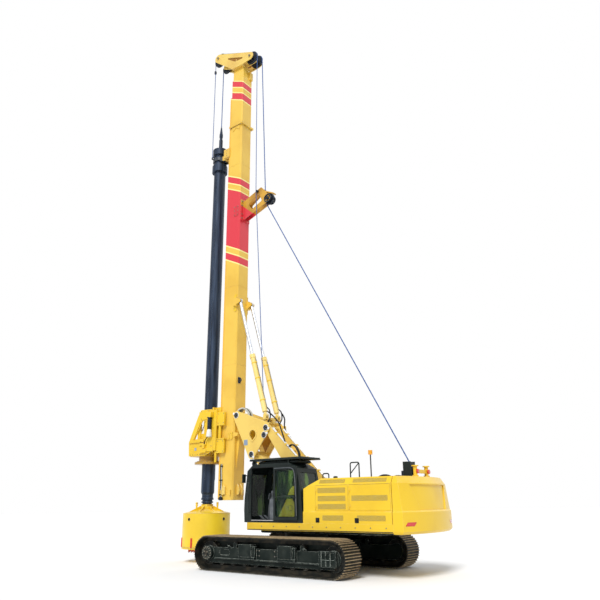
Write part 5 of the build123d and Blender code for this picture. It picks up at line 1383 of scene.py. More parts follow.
@dataclass
class Linkage(Assembly):
    """Boom, link, triangle and cylinders with pin covers, pipes and hoses."""

    home = Body.TRIANGLE
    link_foot: Pair = (-0.61, 2.35)
    link_tip: Pair = (1.35, 4.23)
    boom_tip: Pair = (1.96, 3.40)
    mast_pin: Pair = (2.68, 4.75)
    spare_pin: Pair = (1.42, 4.00)
    cylinder_foot: Pair = (1.40, 4.64)
    cylinder_eye: Pair = (2.69, 8.95)
    cylinder_y: float = 0.31
    plate_out: float = 0.38
    web_half: float = 0.338

    def build(self) -> None:
        """Dresses the linkage and adds its covers, pipes and hoses."""
        self.dress(PALE_YELLOW, "boom", "link", "triangle", "mast_cross", "cylinder_carrier")
        self.dress(YELLOW, "luff_barrels")
        self.dress(HIGHLIT_CREAM, "mast_barrels")
        self.dress(CHROME, "mast_rods", "luff_rods")
        self.pin_covers()
        self.link_pipes()
        self.web()
        self.hose_arch()
        self.long_hoses()
        self.cylinder_lines()
        self.blank_plate()

    @staticmethod
    def beside(start: Pair, end: Pair, stops: list[Pair], y: float) -> list[Point]:
        """Returns points beside the way between two pins, for stops of (share of the way, distance aside)."""
        return level([between(start, end, share, aside) for share, aside in stops], y)

    def pin_covers(self) -> None:
        """Adds dark covers with a pale ring, bolts and a locking plate over the triangle's pins."""
        pins = ((self.boom_tip, 2.4), (self.link_tip, 2.9), (self.mast_pin, -0.5), (self.spare_pin, 3.5))
        cover = [(0.001, 0.088), (0.026, 0.088), (0.034, 0.078), (0.036, 0.03), (0.031, 0.026)]
        ring = [(0.0, 0.086), (0.0, 0.108), (0.012, 0.108), (0.015, 0.104), (0.015, 0.086)]
        covers, rings, locks, bolts = [], [], [], []
        for side, _ in SIDES:
            lock_out = outward(side, self.plate_out, self.plate_out + 0.018)
            lock = block((0.07, 0.17), lock_out, (-0.035, 0.035), 0.008, 0.003)
            for (x, z), turn in pins:
                face = world(x, side * self.plate_out, z)
                top = world(x, side * (self.plate_out + 0.034), z)
                covers.append(turned(cover, face, Axis.Y, 32, out=side))
                rings.append(turned(ring, face, Axis.Y, 32, loop=True, out=side))
                bolts.append(heads(circle_of(top, 0.058, 4, Axis.Y, 0.8), Axis.Y, 0.022, side))
                locks.append(lock.mapped(swung((x, 0, z), turn)))
        self.piece("pin_covers", covers, SHEAVE_STEEL)
        self.piece("pin_rings", rings, WHITE)
        self.piece("pin_locks", locks, WHITE)
        self.piece("pin_bolts", bolts, BOLT_STEEL)

    def link_pipes(self) -> None:
        """Adds pale pipes along the rear edge of both link arms, held by clamps."""
        stops = [(0.06, -0.16), (0.12, -0.142), (0.5, -0.142), (0.88, -0.142), (0.93, -0.17)]
        clamp_stops = [(share, -0.132) for share in (0.2, 0.42, 0.64, 0.84)]
        lean = slope(self.link_foot, self.link_tip)
        pipes, clamps = [], []
        for side, _ in SIDES:
            for y, radius in ((0.255, 0.019), (0.305, 0.017)):
                pipes.append(hose(self.beside(self.link_foot, self.link_tip, stops, side * y), radius, 6))
            clamp = block((-0.03, 0.03), outward(side, 0.228, 0.332), (-0.032, 0.034))
            places = self.beside(self.link_foot, self.link_tip, clamp_stops, 0)
            clamps += [clamp.mapped(swung(place, -lean)) for place in places]
        self.piece("link_pipes", pipes, WHITE, Body.LINK)
        self.piece("link_clamps", clamps, YELLOW, Body.LINK)

    def web(self) -> None:
        """Adds the plate that closes the triangle's front edge, and a thin brown sheet inside its far plate as painted
        shade.
        """
        start, end = (between(self.boom_tip, self.mast_pin, share) for share in (0.24, 0.72))
        length = hypot(end[0] - start[0], end[1] - start[1])
        plate = block((0, length), (-self.web_half, self.web_half), (-0.012, 0.012), 0.004, 0.003)
        tips = np.array([self.boom_tip, self.link_tip, self.mast_pin])
        # Thin sheet on the far plate's inner face; its brown is painted shade inside the triangle.
        outline = shifted(tips.mean(0) + 0.86 * (tips - tips.mean(0)))
        shade_sheet = prism(outline, -self.web_half - 0.0005, -self.web_half + 0.003, Axis.Y, 0.001)
        self.piece("triangle_shade_sheet", shade_sheet, PAINTED_SHADE_BROWN)
        place = swung((start[0], 0, start[1]), -slope(start, end))
        self.piece("triangle_web", plate.mapped(place), YELLOW)

    def hose_arch(self) -> None:
        """Adds a bundle of ribbed sleeves that arches from the triangle over the mast pin, held by a saddle."""
        line = [(2.14, 4.66), (2.20, 4.81), (2.34, 4.94), (2.48, 4.98), (2.62, 4.94), (2.70, 4.84)]
        for k in range(5):
            sleeve = hose(level(line, 0.33 - 0.052 * k), 0.022, 16, 12, 0.004)
            self.piece(f"arch_hose_{k + 1}", sleeve, HOSE if k == 2 else PALE_HOSE, crease=50)
        saddle = block(from_slew(2.09, 2.15), (0.09, 0.345), (4.47, 4.69))
        self.piece("hose_saddle", saddle, YELLOW)

    def long_hoses(self) -> None:
        """Adds the two long hoses from the mast cylinders to the link, and the loops at the link's foot."""
        near = [(1.31, 0.33, 4.76), (1.10, 0.33, 4.61), (0.86, 0.32, 4.37), (0.72, 0.31, 4.06), (0.60, 0.30, 3.74)]
        far = [(1.22, -0.34, 4.74), (1.12, -0.34, 4.55), (1.12, -0.33, 4.30), (1.00, -0.32, 4.05), (0.84, -0.30, 3.93)]
        for name, line in (("near", near), ("far", far)):
            self.piece(f"link_hose_{name}", hose(line, 0.023, 14, 12, 0.002), HOSE, Body.LINK, 50)
        loop = [(0.46, 3.56), (0.34, 3.62), (0.20, 3.56), (0.08, 3.40), (0.04, 3.24), (0.09, 3.10), (0.16, 3.01)]
        for k, y in enumerate((0.30, 0.24)):
            self.piece(f"loop_hose_{k + 1}", hose(level(loop, y), 0.022, 10, 12), HOSE, Body.LINK, 50)

    def cylinder_lines(self) -> None:
        """Adds a pipe with banded lugs along each mast cylinder and a short hose at its foot."""
        stops = [(0.05, -0.125), (0.08, -0.115), (0.25, -0.112), (0.44, -0.112), (0.462, -0.098)]
        droop = [(0, 0), (-0.10, -0.10), (-0.13, -0.32), (-0.02, -0.50)]
        ring = [(-0.02, 0.088), (-0.02, 0.096), (0.02, 0.096), (0.02, 0.088)]
        lug = block((-0.132, -0.088), (-0.022, 0.022), (-0.018, 0.018), edge=0.003)
        band = joined(turned(ring, (0, 0, 0), Axis.Z, 28, loop=True), lug)
        lean = pi / 2 - slope(self.cylinder_foot, self.cylinder_eye)
        pipes, hoses, bands = [], [], []
        for side, _ in SIDES:
            y = side * self.cylinder_y
            path = self.beside(self.cylinder_foot, self.cylinder_eye, stops, y)
            pipes.append(hose(path, 0.014, 6, 8))
            hoses.append(hose([(path[0][0] + x, y, path[0][2] + z) for x, z in droop], 0.021))
            places = self.beside(self.cylinder_foot, self.cylinder_eye, [(0.12, 0), (0.30, 0), (0.43, 0)], y)
            bands += [band.mapped(swung(place, lean)) for place in places]
        self.piece("cylinder_pipes", pipes, BOLT_STEEL, Body.MAST_BARRELS)
        self.piece("cylinder_hoses", hoses, HOSE, Body.MAST_BARRELS)
        self.piece("cylinder_bands", bands, YELLOW, Body.MAST_BARRELS)

    def blank_plate(self) -> None:
        """Adds a blank blue-grey plate on the triangle's left plate."""
        y = self.plate_out
        plate = block(from_slew(2.135, 2.305), (y - 0.001, y + 0.004), (3.71, 3.89), 0.01, 0.001)
        self.piece("triangle_plate", plate, PLATE_BLUE)


@dataclass
class Mast(Assembly):
    """Mast, its head with sheaves, the bracket halfway up and their bolts."""

    home = Body.MAST
    rear: float = 2.85
    front: float = 3.45
    half: float = 0.30
    corner: float = 0.045
    joint: float = 16.80
    flange: float = 0.03
    flange_half: float = 0.04
    welds: tuple[float, ...] = (9.64, 6.62, 14.9)
    foot_hose_x: float = 3.40
    foot_hose_y: float = 0.324

    def build(self) -> None:
        """Dresses the mast and adds bolts, weld beads, the bracket's trim, and the fittings of head, foot and sides."""
        self.dress(MAST_YELLOW, "mast_lower", "mast_upper")
        self.dress(PALE_YELLOW, "mast_head")
        self.dress(SHADED_BRACKET_PAINT, "mid_sheave")
        self.dress(SHEAVE_STEEL, "head_sheaves", "mid_wheel")
        self.flange_bolts()
        self.weld_beads()
        self.bracket_trim()
        self.bracket_hub()
        self.head_trim()
        self.foot_trim()
        self.side_plates()
        self.foot_hoses()

    def flange_bolts(self) -> None:
        """Adds bolts along the four sides of the flanged joint, on top and below."""
        out = self.half + self.flange
        x = np.linspace(self.rear + 0.03, self.front - 0.03, 6)
        y = np.linspace(-self.half + 0.04, self.half - 0.04, 5)
        ends = [self.rear - self.flange, self.front + self.flange]
        spots = np.concatenate([grid_of(x, [-out, out], [self.joint]), grid_of(ends, y, [self.joint])])
        face = np.array([0, 0, self.flange_half])
        nuts = heads(spots + face, Axis.Z, 0.034)
        bolts = heads(spots - face, Axis.Z, 0.034, -1)
        self.piece("flange_bolts", [nuts, bolts], BOLT_STEEL)

    def weld_beads(self) -> None:
        """Adds weld beads round the box: a rippled bead along the section's outline at each weld's height."""
        rear, front, half, cut = self.rear, self.front, self.half, self.corner
        corners = [
            (front, -half), (front, half), (rear + cut, half), (rear, half - cut), (rear, cut - half),
            (rear + cut, -half), (front, -half),
        ]
        runs = [np.linspace(a, b, 40, endpoint=False) for a, b in zip(corners[:-1], corners[1:])]
        outline = shifted(np.concatenate(runs))
        ripple = 0.006 + 0.0015 * np.cos(np.arange(len(outline)) * pi / 2)
        beads = [bead(np.insert(outline, 2, z, axis=1), (0, 0, 1), ripple) for z in self.welds]
        self.piece("weld_beads", beads, MAST_YELLOW)

    def bracket_trim(self) -> None:
        """Adds bolts of the bracket's foot, red pads on the mast's sides and the small side roller."""
        back = grid_of([self.rear - 0.03], [-0.21, -0.17, 0.17, 0.21], [12.45, 12.62, 13.0, 13.17])
        pads, bolts = [], [heads(back, Axis.X, 0.034, -1)]
        for side, _ in SIDES:
            y = self.half + 0.016
            x = from_slew(self.rear + 0.05, self.rear + 0.30)
            pads.append(block(x, outward(side, self.half, y), (12.55, 13.0), 0.03))
            bolts.append(side_heads(side, [self.rear + 0.09, self.rear + 0.25], y, [12.6, 12.78, 12.95], 0.03))
        self.piece("bracket_pads", pads, PAD_RED)
        self.piece("bracket_bolts", bolts, BOLT_STEEL)
        profile = [(0.118, 0.02), (0.118, 0.048), (0.16, 0.05), (0.20, 0.048), (0.20, 0.02), (0.21, 0.018)]
        roller = turned(profile, world(SIDE_ROLLER[0], 0, SIDE_ROLLER[1]), Axis.Y, 28)
        self.piece("side_roller", roller, SHEAVE_STEEL)

    def bracket_hub(self) -> None:
        """Adds the mid wheel's dark hub covers with five spokes and their bolts."""
        x, z = MID_WHEEL
        rim = [(0, 0.17), (0.03, 0.175), (0.045, 0.165), (0.045, 0.145), (0.02, 0.135), (0, 0.135)]
        hub = [(0, 0.06), (0.06, 0.065), (0.075, 0.05), (0.08, 0.02)]
        parts, bolts = [], []
        for side, _ in SIDES:
            y = side * 0.116
            parts.append(turned(rim, world(x, y, z), Axis.Y, 32, loop=True, out=side))
            parts.append(turned(hub, world(x, y, z), Axis.Y, out=side))
            spoke = block((0.05, 0.15), outward(side, 0.002, 0.022), (-0.016, 0.016), 0.004, 0.003)
            parts += [spoke.mapped(swung((x, y, z), k * 2 * pi / 5)) for k in range(5)]
            bolts.append(heads(circle_of(world(x, side * 0.161, z), 0.155, 10, Axis.Y), Axis.Y, 0.018, side))
        self.piece("bracket_hub", parts, SHEAVE_STEEL)
        self.piece("hub_bolts", bolts, BOLT_STEEL)

    def side_plates(self) -> None:
        """Adds lugs and cylinder bracket plates with bolts on both sides of the lower mast, and its back pad-eye."""
        outline = shifted([(2.875, 8.62), (2.94, 8.58), (3.02, 8.66), (3.02, 9.16), (2.94, 9.26), (2.875, 9.30)])
        y, plates, bolts = self.half, [], []
        for side, _ in SIDES:
            lug_out = outward(side, y, y + 0.035)
            plates += [block(from_slew(x - 0.02, x + 0.02), lug_out, (3.97, 4.16)) for x in (2.93, 3.05)]
            plates.append(block(from_slew(2.90, 3.14), outward(side, y, y + 0.03), (4.16, 4.19), 0.004, 0.003))
            plates.append(prism(outline, *outward(side, y, y + 0.022), Axis.Y, 0.003))
            bolts.append(side_heads(side, [2.985], y + 0.022, np.linspace(8.70, 9.12, 6), 0.026))
        self.piece("mast_plates", plates, YELLOW)
        self.piece("mast_plate_bolts", bolts, BOLT_STEEL)
        eye = hoop(world(self.rear - 0.05, 0.10, 6.04), 0.055, 0.016, Axis.Y, 24)
        pad = block(from_slew(self.rear - 0.012, self.rear), (0.03, 0.17), (5.93, 6.15), 0.01, axis=Axis.X)
        self.piece("back_eye", [eye, pad], SHEAVE_STEEL)

    def foot_hoses(self) -> None:
        """Adds two ribbed hoses down the mast's foot, held by black clips."""
        for k, finish in enumerate((HOSE, PALE_HOSE)):
            x = self.foot_hose_x - 0.045 * k
            line = level([(x, 3.15), (x + 0.01, 2.9), (x - 0.01, 2.6), (x, 2.2), (x - 0.03, 2.02)], self.foot_hose_y)
            self.piece(f"foot_hose_{k + 1}", hose(line, 0.018, 24, ribs=0.003), finish, crease=50)
        clips = [
            block(from_slew(3.32, 3.44), (self.half - 0.001, 0.345), (z - 0.02, z + 0.02), 0.005)
            for z in (2.15, 2.62, 3.08)
        ]
        self.piece("hose_clips", clips, BLACK)

    def head_trim(self) -> None:
        """Adds pin nuts, the web behind the head's windows in brown as painted shade, and the small weight on the spare
        rope.
        """
        nut = [(0, 0.05), (0.002, 0.055), (0.035, 0.055), (0.045, 0.045)]
        nuts = [
            turned(nut, world(x, side * 0.345, z), Axis.Y, 6, out=side)
            for x, z in (SPARE_SHEAVE, REAR_SHEAVE) for side, _ in SIDES
        ]
        self.piece("head_nuts", nuts, BOLT_STEEL)
        # Web plates behind the head's windows; their brown is painted shade.
        outline = shifted([(3.79, 20.42), (3.78, 20.56), (2.86, 20.14), (2.90, 20.05), (3.32, 20.09)])
        webs = [prism(outline, *outward(side, 0.285, 0.2995), Axis.Y, 0.003) for side, _ in SIDES]
        self.piece("head_web", webs, PAINTED_SHADE_BROWN)
        profile = [(-0.07, 0.016), (-0.07, 0.04), (-0.055, 0.05), (0.055, 0.05), (0.07, 0.04), (0.07, 0.016)]
        self.piece("rope_weight", turned(profile, world(4.67, 0.17, 20.32), Axis.Z, 20), SHEAVE_STEEL)

    def foot_trim(self) -> None:
        """Adds the lugs beside and behind the mast's foot, and the black roller with its arm."""
        face = self.half - 0.001
        side = shifted([(3.16, 2.16), (3.31, 2.13), (3.30, 2.36), (3.23, 2.46), (3.16, 2.40)])
        back = shifted([(2.851, 2.12), (2.75, 2.16), (2.73, 2.30), (2.80, 2.46), (2.851, 2.50)])
        lugs = [prism(side, face, 0.36, Axis.Y, 0.006)]
        lugs += [prism(back, y - 0.02, y + 0.02, Axis.Y, 0.004) for y in (0.08, -0.08)]
        self.piece("foot_lugs", lugs, PALE_YELLOW)
        profile = [(-0.06, 0.02), (-0.06, 0.055), (0.06, 0.055), (0.06, 0.02)]
        self.piece("foot_roller", turned(profile, world(3.33, 0.365, 2.02), Axis.Y), SHEAVE_STEEL)
        arm = block(from_slew(3.29, 3.37), (face, 0.31), (1.98, 2.2), 0.01, 0.003)
        self.piece("foot_arm", arm, YELLOW)


@dataclass
class Drive(Assembly):
    """Rotary drive, kelly guide, kelly bar and bucket."""

    home = Body.ROTARY
    carriage: float = 3.72
    plate: float = 0.45
    shoe: float = 0.345
    bucket: float = 0.816
    vents: int = 4

    def build(self) -> None:
        """Dresses drive, kelly and bucket, and adds motors, frame, seals, bolts, hoses and tips."""
        self.dress(SHADED_DRIVE_PAINT, "rotary_drive")
        self.dress(BUCKET_YELLOW, "bucket_shell")
        self.dress(GUIDE_PAINT, "kelly_guide")
        self.dress(TEETH_PAINT, "bucket_floor")
        self.dress(RED, "wear_bars")
        self.dress(KELLY_STEEL, "kelly_bar", "kelly_swivel")
        self.motors()
        self.frame_parts()
        self.side_motor()
        self.drive_bolts()
        self.guide_trim()
        self.kelly_trim()
        self.bucket_trim()

    def motors(self) -> None:
        """Adds motor caps with bolts and hoses, the pale cone round the kelly and a blank plate."""
        caps, bolts, hoses = [], [], []
        shape = [(0, 0.9), (0, 1.05), (0.02, 1.05), (0.03, 0.8), (0.09, 0.7), (0.10, 0.5)]
        for x, z, r in ((KELLY_X + 0.19, 4.56, 0.075), (KELLY_X - 0.26, 4.30, 0.085)):
            cap = [(height, r * share) for height, share in shape]
            for y in (-0.32, 0.32):
                caps.append(turned(cap, world(x, y, z), Axis.Z, 20))
                bolts.append(heads(circle_of(world(x, y, z + 0.02), r * 0.9, 6, Axis.Z), Axis.Z, 0.016))
                line = [
                    (x - 0.02, y, z + 0.08), (x - 0.06, y * 0.97, z + 0.20), (x - 0.20, y * 0.95, z + 0.24),
                    (self.carriage + 0.07, y * 0.9, z + 0.12),
                ]
                hoses.append(hose(line, 0.018))
        self.piece("motor_caps", caps, YELLOW)
        self.piece("motor_bolts", bolts, BOLT_STEEL)
        self.piece("motor_hoses", hoses, HOSE)
        profile = [(0, 0.255), (0, 0.325), (0.02, 0.325), (0.26, 0.262), (0.27, 0.255)]
        cone = turned(profile, world(KELLY_X, 0, 4.25), Axis.Z, 40, loop=True)
        self.piece("kelly_seal_cone", cone, WHITE)
        plate = block(from_slew(4.52, 4.62), (self.plate - 0.001, self.plate + 0.005), (3.66, 3.76), 0.008, 0.001)
        self.piece("rotary_plate", plate, PLATE_BLUE)

    def frame_parts(self) -> None:
        """Adds raised beams, boxes, guide shoes, columns and rods on both side plates, and the bolts of the boxes."""
        face = self.plate - 0.001
        boxes = [
            ((4.14, 4.86), (face, 0.50), (3.93, 4.02), 0.012), ((3.93, 4.35), (face, 0.475), (4.72, 5.06), 0.03),
            ((3.68, 4.10), (face, 0.49), (3.60, 3.72), 0.012), ((3.71, 3.95), (face, 0.61), (4.76, 4.95), 0.03),
            ((3.98, 4.30), (face, 0.53), (3.56, 3.68), 0.02), ((4.02, 4.34), (face, 0.50), (3.82, 3.90), 0.02),
            ((4.06, 4.16), (face, 0.54), (3.72, 3.86), 0.02), ((3.56, 3.70), (0.40, 0.47), (3.62, 5.02), 0.012),
            ((3.22, 3.56), (0.335, 0.43), (4.48, 4.93), 0.02), ((3.20, 3.56), (0.335, 0.43), (3.52, 4.00), 0.02),
            ((3.18, 3.58), (0.33, 0.445), (4.46, 4.50), 0.008), ((3.18, 3.58), (0.33, 0.445), (3.98, 4.02), 0.008),
        ]
        column_foot = [(0, 0.06), (0.01, 0.085), (0.03, 0.085), (0.04, 0.062)]
        column = column_foot + [(0.64 - height, radius) for height, radius in column_foot[::-1]]
        lean = slope((4.627, 3.988), (4.271, 4.693))
        parts, bolts = [], []
        for side, _ in SIDES:
            parts += [block(from_slew(*x), outward(side, *out), z, radius, 0.006) for x, out, z, radius in boxes]
            beam = block((0, 0.74), outward(side, face, 0.485), (-0.035, 0.035), 0.01, 0.006)
            parts.append(beam.mapped(swung((4.70, 0, 4.02), -lean)))
            for x, z, r, height in ((3.44, 4.01, 0.05, 0.46), (3.62, 3.22, 0.04, 0.36)):
                rod = [(0, r * 0.8), (0.01, r), (height - 0.01, r), (height, r * 0.8)]
                parts.append(turned(rod, world(x, side * 0.385, z), Axis.Z, 20))
            parts.append(turned(column, world(4.16, side * 0.37, 4.03)))
            bolts.append(side_heads(side, [3.25, 3.50], 0.43, [3.58, 3.92, 4.55, 4.87], 0.024))
            bolts.append(side_heads(side, [3.97, 4.31], 0.475, [4.76, 5.02], 0.024))
        self.piece("drive_frame", parts, YELLOW)
        self.piece("shoe_bolts", bolts, BOLT_STEEL)

    def side_motor(self) -> None:
        """Adds the dark motor with its pale cone, bracket, plug and hose on each side plate."""
        body = [
            (0.0, 0.05), (0.02, 0.075), (0.34, 0.075), (0.36, 0.06), (0.40, 0.06), (0.41, 0.085), (0.44, 0.085),
            (0.45, 0.04),
        ]
        cone = [(0.0, 0.06), (0.02, 0.10), (0.06, 0.10), (0.24, 0.078), (0.27, 0.06)]
        plug = [(0.0, 0.02), (0.0, 0.03), (0.03, 0.03), (0.035, 0.02)]
        line = [(3.90, 0.50, 4.12), (3.99, 0.53, 4.02), (4.04, 0.53, 3.92), (4.10, 0.51, 3.84)]
        dark, pale, hoses = [], [], []
        for side, _ in SIDES:
            dark.append(turned(body, world(3.83, side * 0.53, 4.34)))
            dark.append(block(from_slew(3.80, 3.90), outward(side, self.plate - 0.001, 0.52), (4.22, 4.30), 0.008))
            dark.append(turned(plug, world(4.27, side * 0.475, 3.93), Axis.Z, 16))
            pale.append(turned(cone, world(3.83, side * 0.53, 4.08)))
            hoses.append(hose([(x, side * y, z) for x, y, z in line], 0.016))
        self.piece("side_motors", dark, SHEAVE_STEEL)
        self.piece("motor_cones", pale, WHITE)
        self.piece("side_hoses", hoses, HOSE)

    def drive_bolts(self) -> None:
        """Adds bolts on the drive's side plates, guide shoes and both flanges."""
        rows = []
        for side, _ in SIDES:
            rows += [
                side_heads(side, np.linspace(3.85, 4.82, 9), self.plate, [3.52], 0.024),
                side_heads(side, [self.carriage - 0.1], self.shoe, np.linspace(3.68, 5.04, 9), 0.026),
                side_heads(side, [self.carriage + 0.07], self.plate, [3.66, 3.78, 4.94, 5.06], 0.026),
            ]
        for z, radius, count, across in ((3.26, 0.46, 20, 0.032), (5.06, 0.275, 12, 0.024)):
            rows.append(heads(circle_of(world(KELLY_X, 0, z), radius, count, Axis.Z), Axis.Z, across))
        self.piece("drive_bolts", rows, BOLT_STEEL)

    def guide_trim(self) -> None:
        """Adds the kelly guide's bolts, and the eye that holds the spare rope."""
        bolts = [side_heads(side, [3.62], self.shoe, [15.5, 15.62, 15.74], 0.026) for side, _ in SIDES]
        self.piece("guide_bolts", bolts, BOLT_STEEL, Body.GUIDE)
        x, z = GUIDE_EYE
        eye = hoop(world(x, 0.33, z), 0.035, 0.012, Axis.Y, 20)
        foot = block(from_slew(x - 0.035, x + 0.035), (0.24, 0.35), (z - 0.06, z - 0.03), edge=0.003)
        self.piece("guide_eye", [eye, foot], BLACK, Body.GUIDE)

    def kelly_trim(self) -> None:
        """Adds flange bolts on the kelly's head and the rope socket over it."""
        rings = [circle_of(world(KELLY_X, 0, z), radius, 14, Axis.Z) for z, radius in ((16.15, 0.275), (15.37, 0.285))]
        self.piece("kelly_bolts", [heads(ring, Axis.Z, 0.034) for ring in rings], BOLT_STEEL, Body.KELLY)
        profile = [(0, 0.05), (0.01, 0.062), (0.08, 0.058), (0.30, 0.032), (0.36, 0.026), (0.36, 0.017)]
        self.piece("rope_socket", turned(profile, world(KELLY_X, 0, 17.0)), KELLY_STEEL, Body.GUIDE)

    def bucket_trim(self) -> None:
        """Adds tips on the teeth, black discs in the vents as painted shade, ribs and post knobs on the cone, and two
        rim beads.
        """
        tips = []
        for side, _ in SIDES:
            for x in KELLY_X + side * (0.15 + 0.13 * np.arange(5)):
                tips.append(block(from_slew(x - 0.026, x + 0.026), outward(side, 0.135, 0.158), (0.262, 0.30)))
        self.piece("teeth_tips", tips, CHROME, Body.FLOOR)
        profile = [
            (0.80, 0.02), (0.80, 0.035), (0.8235, 0.035), (0.8235, 0.05), (0.827, 0.05), (0.828, 0.04), (0.828, 0.01),
        ]
        # Black discs just inside the vent holes: painted shade of the bucket's inside.
        plug = turned(profile, (0, 0, 1.37), Axis.X)
        self.piece("vent_shade_discs", self.around(plug, self.vents), SEAL, Body.KELLY)
        rib = prism([(0.24, 1.80), (0.24, 1.66), (0.62, 1.60), (0.62, 1.62)], -0.012, 0.012, Axis.Y, 0.003)
        self.piece("bucket_ribs", self.around(rib, 8, pi / 8), YELLOW, Body.KELLY)
        profile = [
            (0, 0.03), (0.01, 0.045), (0.03, 0.045), (0.04, 0.03), (0.056, 0.03), (0.066, 0.042), (0.10, 0.042),
            (0.115, 0.02),
        ]
        knob = turned(profile, (0, 0, 0), Axis.Z, 20)
        posts = circle_of(world(KELLY_X, 0, 1.80), 0.36, 2, Axis.Z, pi / 4)
        self.piece("post_knobs", knob.repeated(posts), YELLOW, Body.KELLY)
        for name, z in (("bucket_bead", 1.555), ("bucket_lip", 0.50)):
            rim = hoop(world(KELLY_X, 0, z), self.bucket, 0.007, Axis.Z, 72)
            self.piece(name, rim, YELLOW, Body.KELLY)

    @staticmethod
    def around(shell: Shell, count: int, start: float = 0.0) -> list[Shell]:
        """Returns copies of a surface turned about the kelly's axis, evenly spread from a start angle."""
        angles = start + np.arange(count) * 2 * pi / count
        return [shell.mapped(swung((KELLY_X, 0, 0), angle, "Z")) for angle in angles]


# Ropes


@dataclass(frozen=True)
class Stop:
    """A wheel that a rope runs round: side-view centre, Y, and radius of the rope's line.

    The radius is positive where the rope turns left on its way in the side view, negative where it turns right,
    and zero at an end.
    """

    x: float
    z: float
    y: float
    radius: float = 0.0


@dataclass
class Rope(Assembly):
    """A taut wire rope round wheels, cut in parts that ride on different bodies."""

    name: str
    stops: tuple[Stop, ...]
    radius: float = 0.019
    lay: float = 0.18
    step: float = 0.05

    def lines(self) -> list[np.ndarray]:
        """Works out the rope's line: one array for each straight run and each arc, in turn.

        The straight run between two wheels runs at angle f - asin((r2 - r1) / d), where f is the angle of the line of
        centres and d its length. Its ends lie one radius to the right of that direction from the centres.
        """
        ends = []
        for a, b in zip(self.stops[:-1], self.stops[1:]):
            dx, dz = b.x - a.x, b.z - a.z
            way = atan2(dz, dx) - asin((b.radius - a.radius) / hypot(dx, dz))
            left = np.array([-sin(way), cos(way)])
            ends.append((np.array([a.x, a.z]) - a.radius * left, np.array([b.x, b.z]) - b.radius * left))
        lines = []
        for k, (start, end) in enumerate(ends):
            a, b = self.stops[k], self.stops[k + 1]
            count = max(2, int(np.linalg.norm(end - start) / self.step))
            t = np.linspace(0, 1, count + 1)[:, None]
            run = start + (end - start) * t
            lines.append(np.stack([run[:, 0] + SLEW_X, a.y + (b.y - a.y) * t[:, 0], run[:, 1]], -1))
            if k + 1 < len(ends):
                lines.append(self.arc(b, end, ends[k + 1][0]))
        return lines

    def arc(self, stop: Stop, start: np.ndarray, end: np.ndarray) -> np.ndarray:
        """Points round a wheel from start to end, turning left for a positive radius and right for a negative one."""
        a0 = atan2(start[1] - stop.z, start[0] - stop.x)
        a1 = atan2(end[1] - stop.z, end[0] - stop.x)
        turn = (a1 - a0) % (2 * pi) if stop.radius > 0 else -((a0 - a1) % (2 * pi))
        count = max(3, int(abs(turn * stop.radius) / self.step * 2))
        t = a0 + np.linspace(0, turn, count + 1)
        r = abs(stop.radius)
        return np.stack([stop.x + r * np.cos(t) + SLEW_X, np.full(len(t), stop.y), stop.z + r * np.sin(t)], -1)

    def part(self, name: str, lines: list[np.ndarray], body: Body | None) -> bpy.types.Object:
        """Makes one part of the rope from some of its lines."""
        path = np.concatenate([lines[0]] + [line[1:] for line in lines[1:]])
        return self.piece(f"{self.name}_{name}", stranded(path, self.radius, self.lay), ROPE_STEEL, body, 80)


@dataclass
class Ropes(Assembly):
    """Main and spare rope."""

    def build(self) -> None:
        """Makes both ropes; the front runs, from the mast head down to the kelly and the sliding kelly guide, ride on
        no body.
        """
        main = Rope(
            "main_rope",
            (
                Stop(KELLY_X, 17.30, 0.0), Stop(*MAIN_SHEAVE, 0.0, 0.24), Stop(*REAR_SHEAVE, -0.16, 0.284),
                Stop(*MID_WHEEL, 0.0, -0.209), Stop(-3.59, 2.79, 0.0, 0.087), Stop(*WINCH, 0.0, 0.325),
                Stop(-2.40, 2.05, 0.0),
            ),
        )
        lines = main.lines()
        front = main.part("front", lines[:1], None)
        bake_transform(front)
        main.part("head", lines[1:5], Body.MAST)
        main.part("back", lines[5:9], Body.HOUSE)
        spare = Rope(
            "spare_rope",
            (
                Stop(*GUIDE_EYE, 0.33), Stop(*SPARE_SHEAVE, 0.16, 0.318), Stop(*REAR_SHEAVE, 0.16, 0.278),
                Stop(*SIDE_ROLLER, 0.16, -0.062), Stop(1.60, 4.50, 0.16),
            ),
            radius=0.014,
        )
        lines = spare.lines()
        front = spare.part("front", lines[:1], None)
        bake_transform(front)
        spare.part("back", lines[1:], Body.MAST)


# Studio


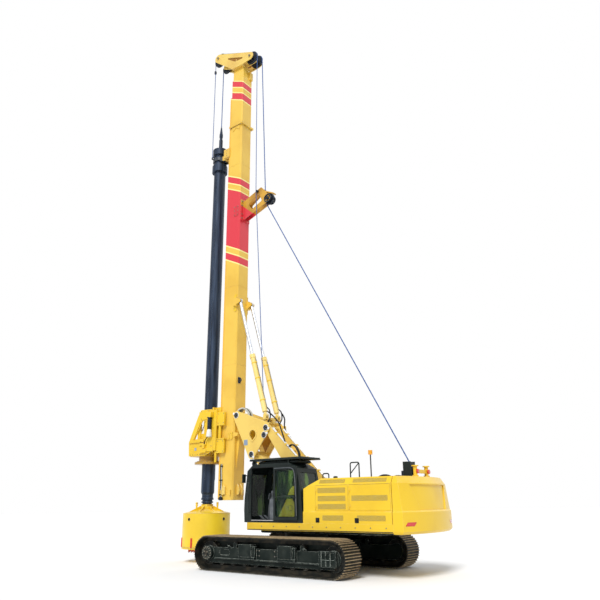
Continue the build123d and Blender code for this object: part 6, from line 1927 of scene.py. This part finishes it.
@dataclass
class Studio(Assembly):
    """Floor, world, lamps and camera."""

    eye: Point = (-11.93, 15.56, 1.9)
    pitch: float = 18.823
    heading: float = 53.113
    roll: float = -0.621
    focal: float = 591.36
    frame_width: float = 600.0
    sensor: float = 36.0
    floor_radius: float = 120.0

    def build(self) -> None:
        """Makes the floor, the world, two lamps and the camera."""
        self.floor()
        self.sky()
        self.lamp("key_lamp", 2.55, 22, (-0.26, 0.64, 0.72))
        self.lamp("fill_lamp", 0.35, 60, (-0.2, -0.7, 0.6))
        self.camera()

    def floor(self) -> None:
        """Makes a wide round pale floor that takes the shadow."""
        disc = turned([(-0.4, self.floor_radius), (0.0, self.floor_radius)], (0, 0, -0.0005), Axis.Z, 96)
        tree = Tree("floor_finish")
        tone = tree.patches(0.4, 3, 0.3, 0.7)
        tree.set(Base_Color=tree.mix(tone, (0.93,) * 3, (0.95,) * 3), Roughness=0.9, Specular_IOR_Level=0.1)
        floor = placed("floor", mesh_of("floor", disc, tree.material))

    def sky(self) -> None:
        """Makes the world: white where the camera, gloss and glass see it, a softer level as light."""
        bpy.context.scene.world = bpy.data.worlds.new("studio")
        nodes = Nodes(bpy.context.scene.world)
        rays = nodes.node("LightPath", {}).outputs
        seen = nodes.math("MAXIMUM", rays["Is Camera Ray"], rays["Is Glossy Ray"])
        seen = nodes.math("MAXIMUM", seen, rays["Is Transmission Ray"])
        light = nodes.node("Background", {0: (0.93, 0.96, 1.0), 1: 0.50})
        white = nodes.node("Background", {0: (1.0, 1.0, 1.0), 1: 1.0})
        mixed = nodes.node("MixShader", {0: seen, 1: light.outputs[0], 2: white.outputs[0]})
        nodes.node("OutputWorld", {0: mixed.outputs[0]})

    def lamp(self, name: str, strength: float, spread: float, towards: Point) -> None:
        """Adds a soft distant lamp.

        Args:
            name: Name of the lamp.
            strength: Strength on a face square to it.
            spread: Angle in degrees that it spans, for soft shadows.
            towards: Direction from the machine to the lamp.
        """
        data = bpy.data.lights.new(name, "SUN")
        data.energy, data.angle = strength, radians(spread)
        z = unit(np.array(towards))
        x = unit(np.cross([0, 0, 1], z))
        y = np.cross(z, x)
        placed(name, data).matrix_world = Matrix(np.column_stack([x, y, z]).tolist()).to_4x4()

    def camera(self) -> None:
        """Places the camera by heading, pitch and roll; the focal length is in points of the frame's width."""
        c, s = cos(radians(self.pitch)), sin(radians(self.pitch))
        h = radians(self.heading)
        forward = np.array([cos(h) * c, -sin(h) * c, s])
        right = unit(np.cross(forward, [0, 0, 1]))
        up = np.cross(right, forward)
        r = radians(self.roll)
        right, up = right * cos(r) + up * sin(r), -right * sin(r) + up * cos(r)
        data = bpy.data.cameras.new("camera")
        data.sensor_width = self.sensor
        data.sensor_fit = "HORIZONTAL"
        data.lens = self.focal / self.frame_width * self.sensor
        data.clip_end = 400
        camera = placed("camera", data)
        matrix = Matrix(np.column_stack([right, up, -forward]).tolist()).to_4x4()
        matrix.translation = self.eye
        camera.matrix_world = matrix
        bpy.context.scene.camera = camera
        bpy.context.scene.view_settings.view_transform = "Standard"


def main() -> None:
    """Builds the sub-assemblies in order."""
    logging.basicConfig(level=logging.INFO, format="%(name)s: %(message)s")
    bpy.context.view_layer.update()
    for part in (Undercarriage(), House(), Cab(), Linkage(), Mast(), Drive(), Ropes(), Studio()):
        part.build()
        log.info("%s done", type(part).__name__)
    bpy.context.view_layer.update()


if __name__ == "__main__":
    main()
